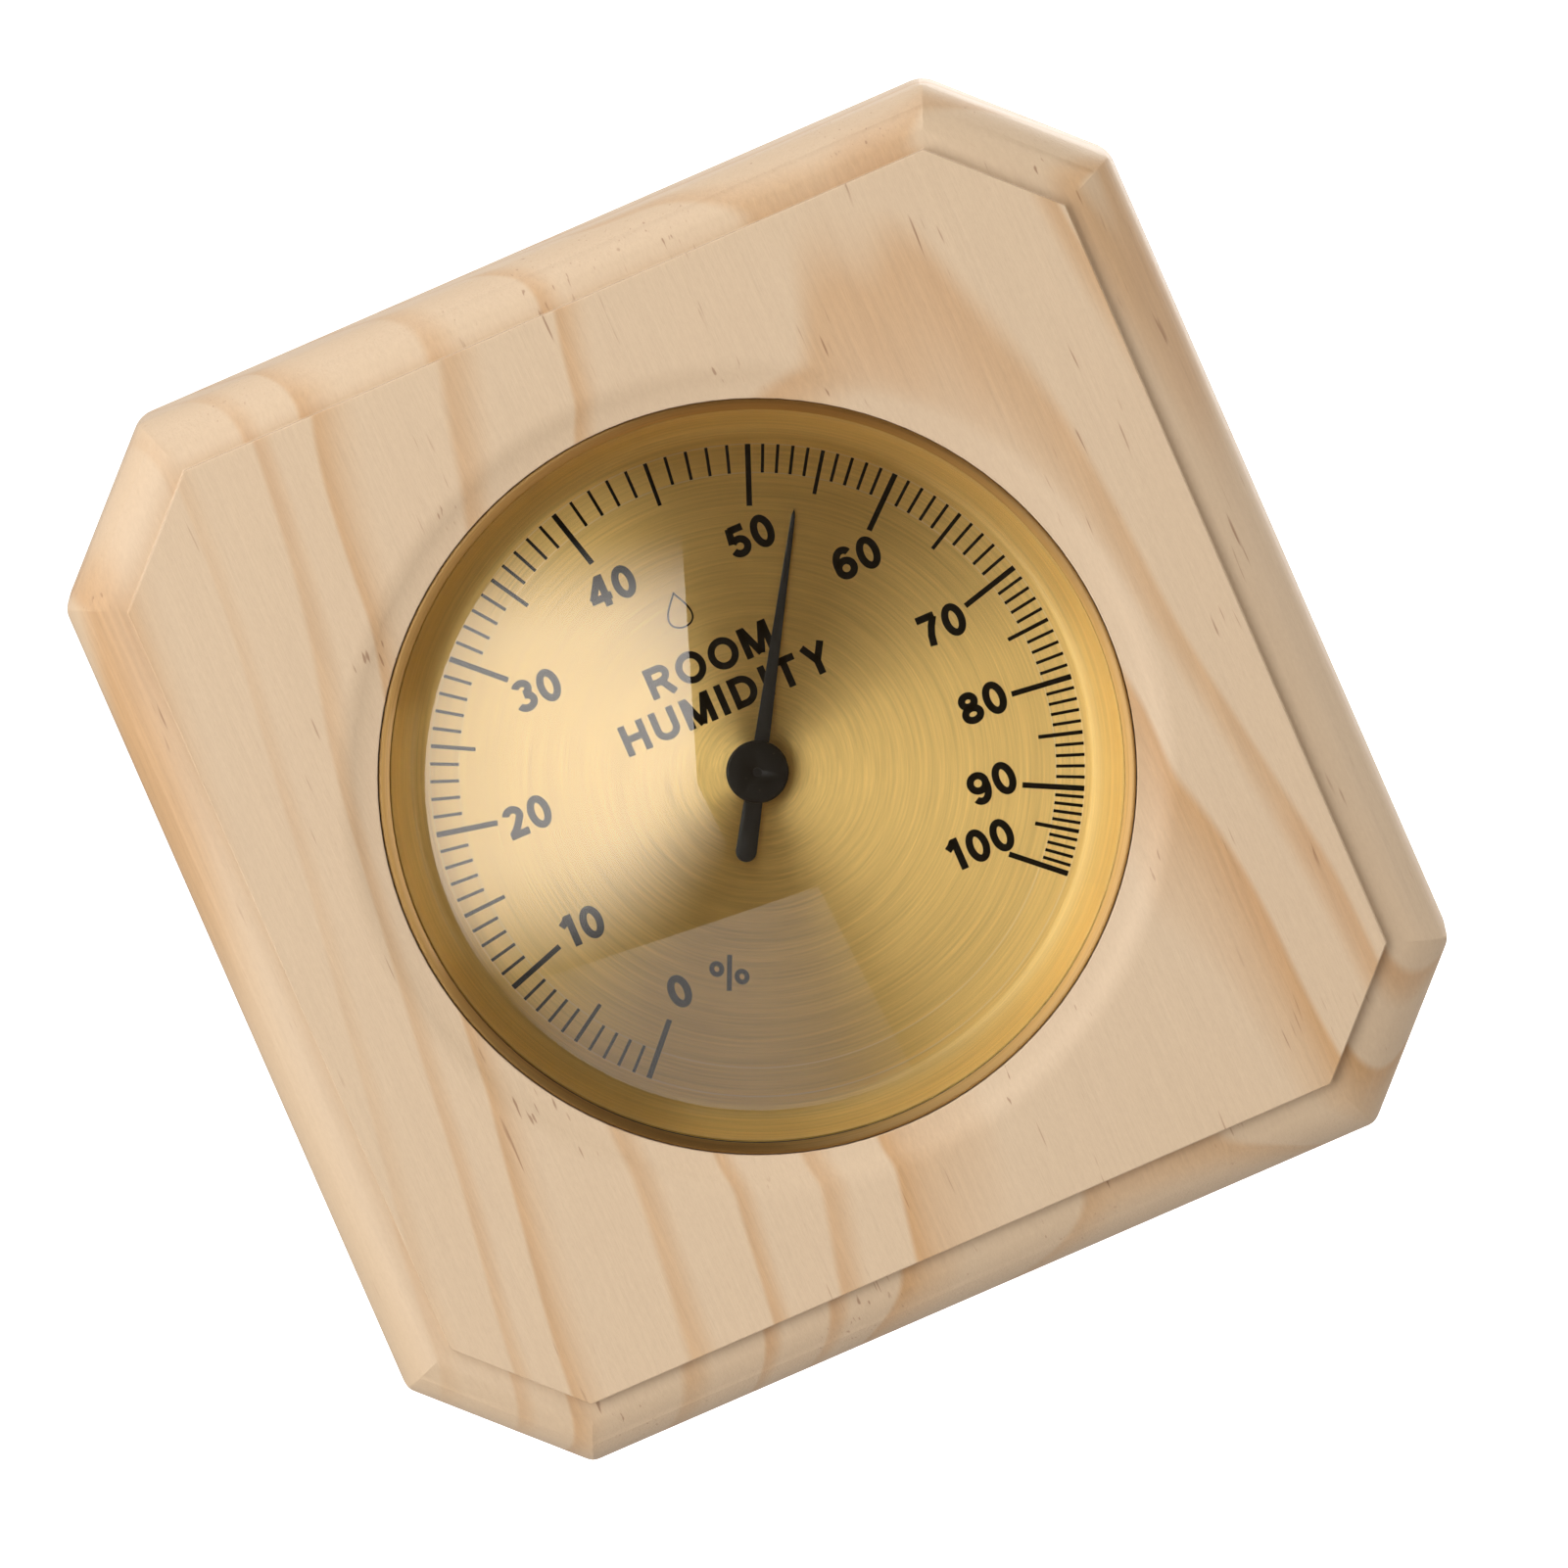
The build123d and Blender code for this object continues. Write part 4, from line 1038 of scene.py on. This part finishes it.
# %% [markdown]
# ## Light
# Five softboxes light the board, and their places are worked out from the camera's own three
# directions. The key and the taller wide one stand close together at the viewer's left, and give
# the brass its two fans. A third rakes over the face from the right. A fourth does so from above,
# for the wood only: it is left out of the brass, where it would draw a third fan. The fifth stands
# behind the board, for pictures of its back.

# %% Lights
def from_dial(image_angle, tilt, far):
    """A point seen from the dial: image_angle counts from the viewer's right, tilt from the camera."""
    a, t = math.radians(image_angle), math.radians(tilt)
    sideways = view_right * math.cos(a) + view_up * math.sin(a)
    return board_middle + (to_camera * math.cos(t) + sideways * math.sin(t)) * far


def softbox(name, image_angle, tilt, far, size, watts, colour="#FFFFFF"):
    """A rectangular area light that faces the dial, far and size in metres."""
    data = bpy.data.lights.new(name, "AREA")
    data.shape = "RECTANGLE"
    data.size, data.size_y = size
    data.energy = watts
    data.color = linear(colour)[:3]
    made = new_object(name, data)
    place = from_dial(image_angle, tilt, far)
    facing = (board_middle - place).normalized()
    up = (view_up - facing * view_up.dot(facing)).normalized()
    side = facing.cross(up)
    made.matrix_world = Matrix.Translation(place) @ Matrix((side, up, -facing)).transposed().to_4x4()
    made.visible_camera = False
    return made


softbox("key_softbox", 182, 42, 1.0, (1.1, 1.0), 8.0, "#FCFBFA")
softbox("wide_softbox", 170, 44, 1.0, (1.1, 2.6), 10.2, "#FBFCFF")
softbox("side_softbox", 5, 80, 1.6, (0.8, 1.2), 9.5)
top_softbox = softbox("top_softbox", 95, 78, 1.6, (1.2, 0.8), 8.0)
top_softbox.visible_glossy = False
softbox("back_softbox", 60, 142, 1.2, (1.0, 1.0), 11.0)

# %% [markdown]
# ## The room
# Brushed brass is a blurred mirror, so most of what it shows is the room. The world gives each kind of
# ray its own room. The camera sees white. Soft light comes evenly from a pale one. What is glossy
# mirrors a dim warm one, with lighter walls at both sides, a lighter table below, and a neutral glow
# behind the board, which shows in the steel of its back.

# %% Room
ROOM_ABOVE, ROOM_BELOW = 0.66, 0.64                   # strength of the soft light
ROOM_MIRRORED = 0.09                                  # strength of the dim room
WALLS_ADD, TABLE_ADD, BEHIND_ADD = 0.40, 0.58, 0.42   # what its lighter parts add to that
WARM_ROOM = linear("#FFCF94")

world = bpy.data.worlds.new("studio")
bpy.context.scene.world = world
world.use_nodes = True
room = world.node_tree
room.nodes.clear()
look = add(room, "ShaderNodeTexCoord").outputs["Generated"]
height = add(room, SPLIT, (look,)).outputs["Z"]
lift = add(room, STEP, (height, -0.9, 0.9), **SMOOTHLY)
fill = add(room, MATHS, (lift, ROOM_ABOVE - ROOM_BELOW, ROOM_BELOW), operation="MULTIPLY_ADD")

rightwards, upwards, forwards = [
    add(room, VECTOR, (look, tuple(direction)), operation="DOT_PRODUCT")
    for direction in (view_right, view_up, to_camera)]
sideways = add(room, MATHS, (rightwards,), operation="ABSOLUTE")
downwards = add(room, MATHS, (upwards, -1.0), operation="MULTIPLY")
backwards = add(room, MATHS, (forwards, -1.0), operation="MULTIPLY")
walls = add(room, STEP, (sideways, 0.45, 0.95), **SMOOTHLY)
table = add(room, STEP, (downwards, 0.45, 0.95), **SMOOTHLY)
behind = add(room, STEP, (backwards, 0.15, 0.65), **SMOOTHLY)
glow = add(room, MATHS, (walls, WALLS_ADD, ROOM_MIRRORED), operation="MULTIPLY_ADD")
glow = add(room, MATHS, (table, TABLE_ADD, glow), operation="MULTIPLY_ADD")
glow = add(room, MATHS, (behind, BEHIND_ADD, glow), operation="MULTIPLY_ADD")
tint = add(room, MIX, {SHARE: behind, FIRST: WARM_ROOM, SECOND: WHITE}, **COLOURS)

seen = add(room, "ShaderNodeBackground", {"Color": WHITE, "Strength": 1.0})
filled = add(room, "ShaderNodeBackground", {"Color": WHITE, "Strength": fill})
mirrored_room = add(room, "ShaderNodeBackground", {"Color": tint, "Strength": glow})
ray = add(room, "ShaderNodeLightPath").outputs
unseen = add(room, "ShaderNodeMixShader", (ray["Is Glossy Ray"], filled, mirrored_room))
either = add(room, "ShaderNodeMixShader", (ray["Is Camera Ray"], unseen, seen))
add(room, "ShaderNodeOutputWorld", {"Surface": either})
bpy.context.scene.view_settings.view_transform = "Standard"
print("room has", len(room.nodes), "nodes")

# %% [markdown]
# ## The reflections in the glass
# The glass is flat, so what it shows at any point is whatever lies along the mirrored line of sight.
# Two glowing cards stand there: one like a bright window, over the left of the dial, and one like a
# pale table, over its foot. Each is drawn on the glass, as the patch that should look pale, and every
# corner of it is then sent out along its own mirrored ray. Where a real window or table fades into
# the room, the card's glow fades along a line. Nothing but reflections sees the cards.

# %% Reflected cards
glass_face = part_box("crystal")[0].y
CARD_FAR = 2.2                                             # m
CARD_GLOW = linear("#FFF8F2")
LOWER_EDGE = [(-26.8, -26.3), (-6.6, -19.6), (8.0, -14.6)]   # mm, where window and table meet


def mirrored(right, up):
    """Where the mirrored line of sight from a point on the glass meets the card's distance.
    The point is given in mm to the viewer's right of the dial's middle and above it."""
    on_glass = view_right * right * MM + view_up * up * MM
    on_glass.y = glass_face
    sight = (camera.matrix_world.translation - on_glass).normalized()
    bounce = Vector((-sight.x, sight.y, -sight.z))
    return on_glass + bounce * CARD_FAR


def card(name, outline, strength, fades):
    """A glowing polygon that only reflections see. Each fade runs from its full point to its gone point."""
    mesh = bpy.data.meshes.new(name)
    mesh.from_pydata([tuple(mirrored(*point)) for point in outline], [], [range(len(outline))])
    made = new_object(name, mesh)
    glow, tree = new_material(name)
    here = add(tree, "ShaderNodeNewGeometry").outputs["Position"]
    light = strength
    for full, gone in fades:
        start, path = mirrored(*full), mirrored(*gone) - mirrored(*full)
        from_start = add(tree, VECTOR, (here, tuple(start)), operation="SUBTRACT")
        along = add(tree, VECTOR, (from_start, tuple(path / path.length_squared)), operation="DOT_PRODUCT")
        faded = add(tree, STEP, (along, 0.0, 1.0), **SMOOTHLY)
        left = add(tree, MATHS, (1.0, faded), operation="SUBTRACT")
        light = add(tree, MATHS, (left, light), operation="MULTIPLY")
    lamp = add(tree, "ShaderNodeEmission", {"Color": CARD_GLOW, "Strength": light})
    add(tree, "ShaderNodeOutputMaterial", {"Surface": lamp})
    mesh.materials.append(glow)
    made.visible_camera = False
    made.visible_diffuse = False
    made.visible_shadow = False
    made.visible_transmission = False
    print(name, "has", len(outline), "corners and", len(fades), "fades")


def flat_edge(start, end):
    """Points along the edge of the dial's flat, between two angles from the viewer's right."""
    turns = [math.radians(start + (end - start) * i / 24) for i in range(25)]
    return [(COVE_INNER * math.cos(t), COVE_INNER * math.sin(t) - 0.5) for t in turns]


card("window_card", [(-10.6, 42.0)] + flat_edge(103, 217) + LOWER_EDGE[:2] + [(-4.0, -9.0), (-7.9, -1.0)],
     7.2, [((-17, -4), (-3, -12)), ((-14, 19), (-15, 33)), ((-20, -8), (-17, -28)), ((-16, 0), (-105, 0))])
card("table_card", LOWER_EDGE[::-1] + flat_edge(217, 298),
     2.2, [((-4, -30), (28, -25)), ((-14, -30), (-34, -16))])

# %% [markdown]
# ## Floor
# A plain pale floor lies a little below the board. It glows faintly, so that it stays white far away.

# %% Floor
FLOOR_DROP = 30 * MM
FLOOR_REACH = 40.0       # m, so far that its edge is never seen
level = cad_box[0].z - FLOOR_DROP
floor_mesh = bpy.data.meshes.new("floor")
floor_corners = [(x * FLOOR_REACH, y * FLOOR_REACH, level) for x, y in ((-1, -1), (1, -1), (1, 1), (-1, 1))]
floor_mesh.from_pydata(floor_corners, [], [(0, 1, 2, 3)])
paint, paint_tree = new_material("pale_floor")
surface(paint_tree, Base_Color=(0.85, 0.85, 0.85, 1), Roughness=0.9, Emission_Color=WHITE,
        Emission_Strength=0.65)
floor_mesh.materials.append(paint)
floor = new_object("floor", floor_mesh)
floor.visible_diffuse = False
floor.visible_glossy = False
floor.visible_transmission = False
print("floor lies", round((cad_box[0].z - level) / MM), "mm below the board")

# %% [markdown]
# ## Sizes
# The CAD's box is printed, in millimetres.

# %% Print the CAD's box
print("CAD box:   ", [[round(v / MM, 2) for v in corner] for corner in cad_box])
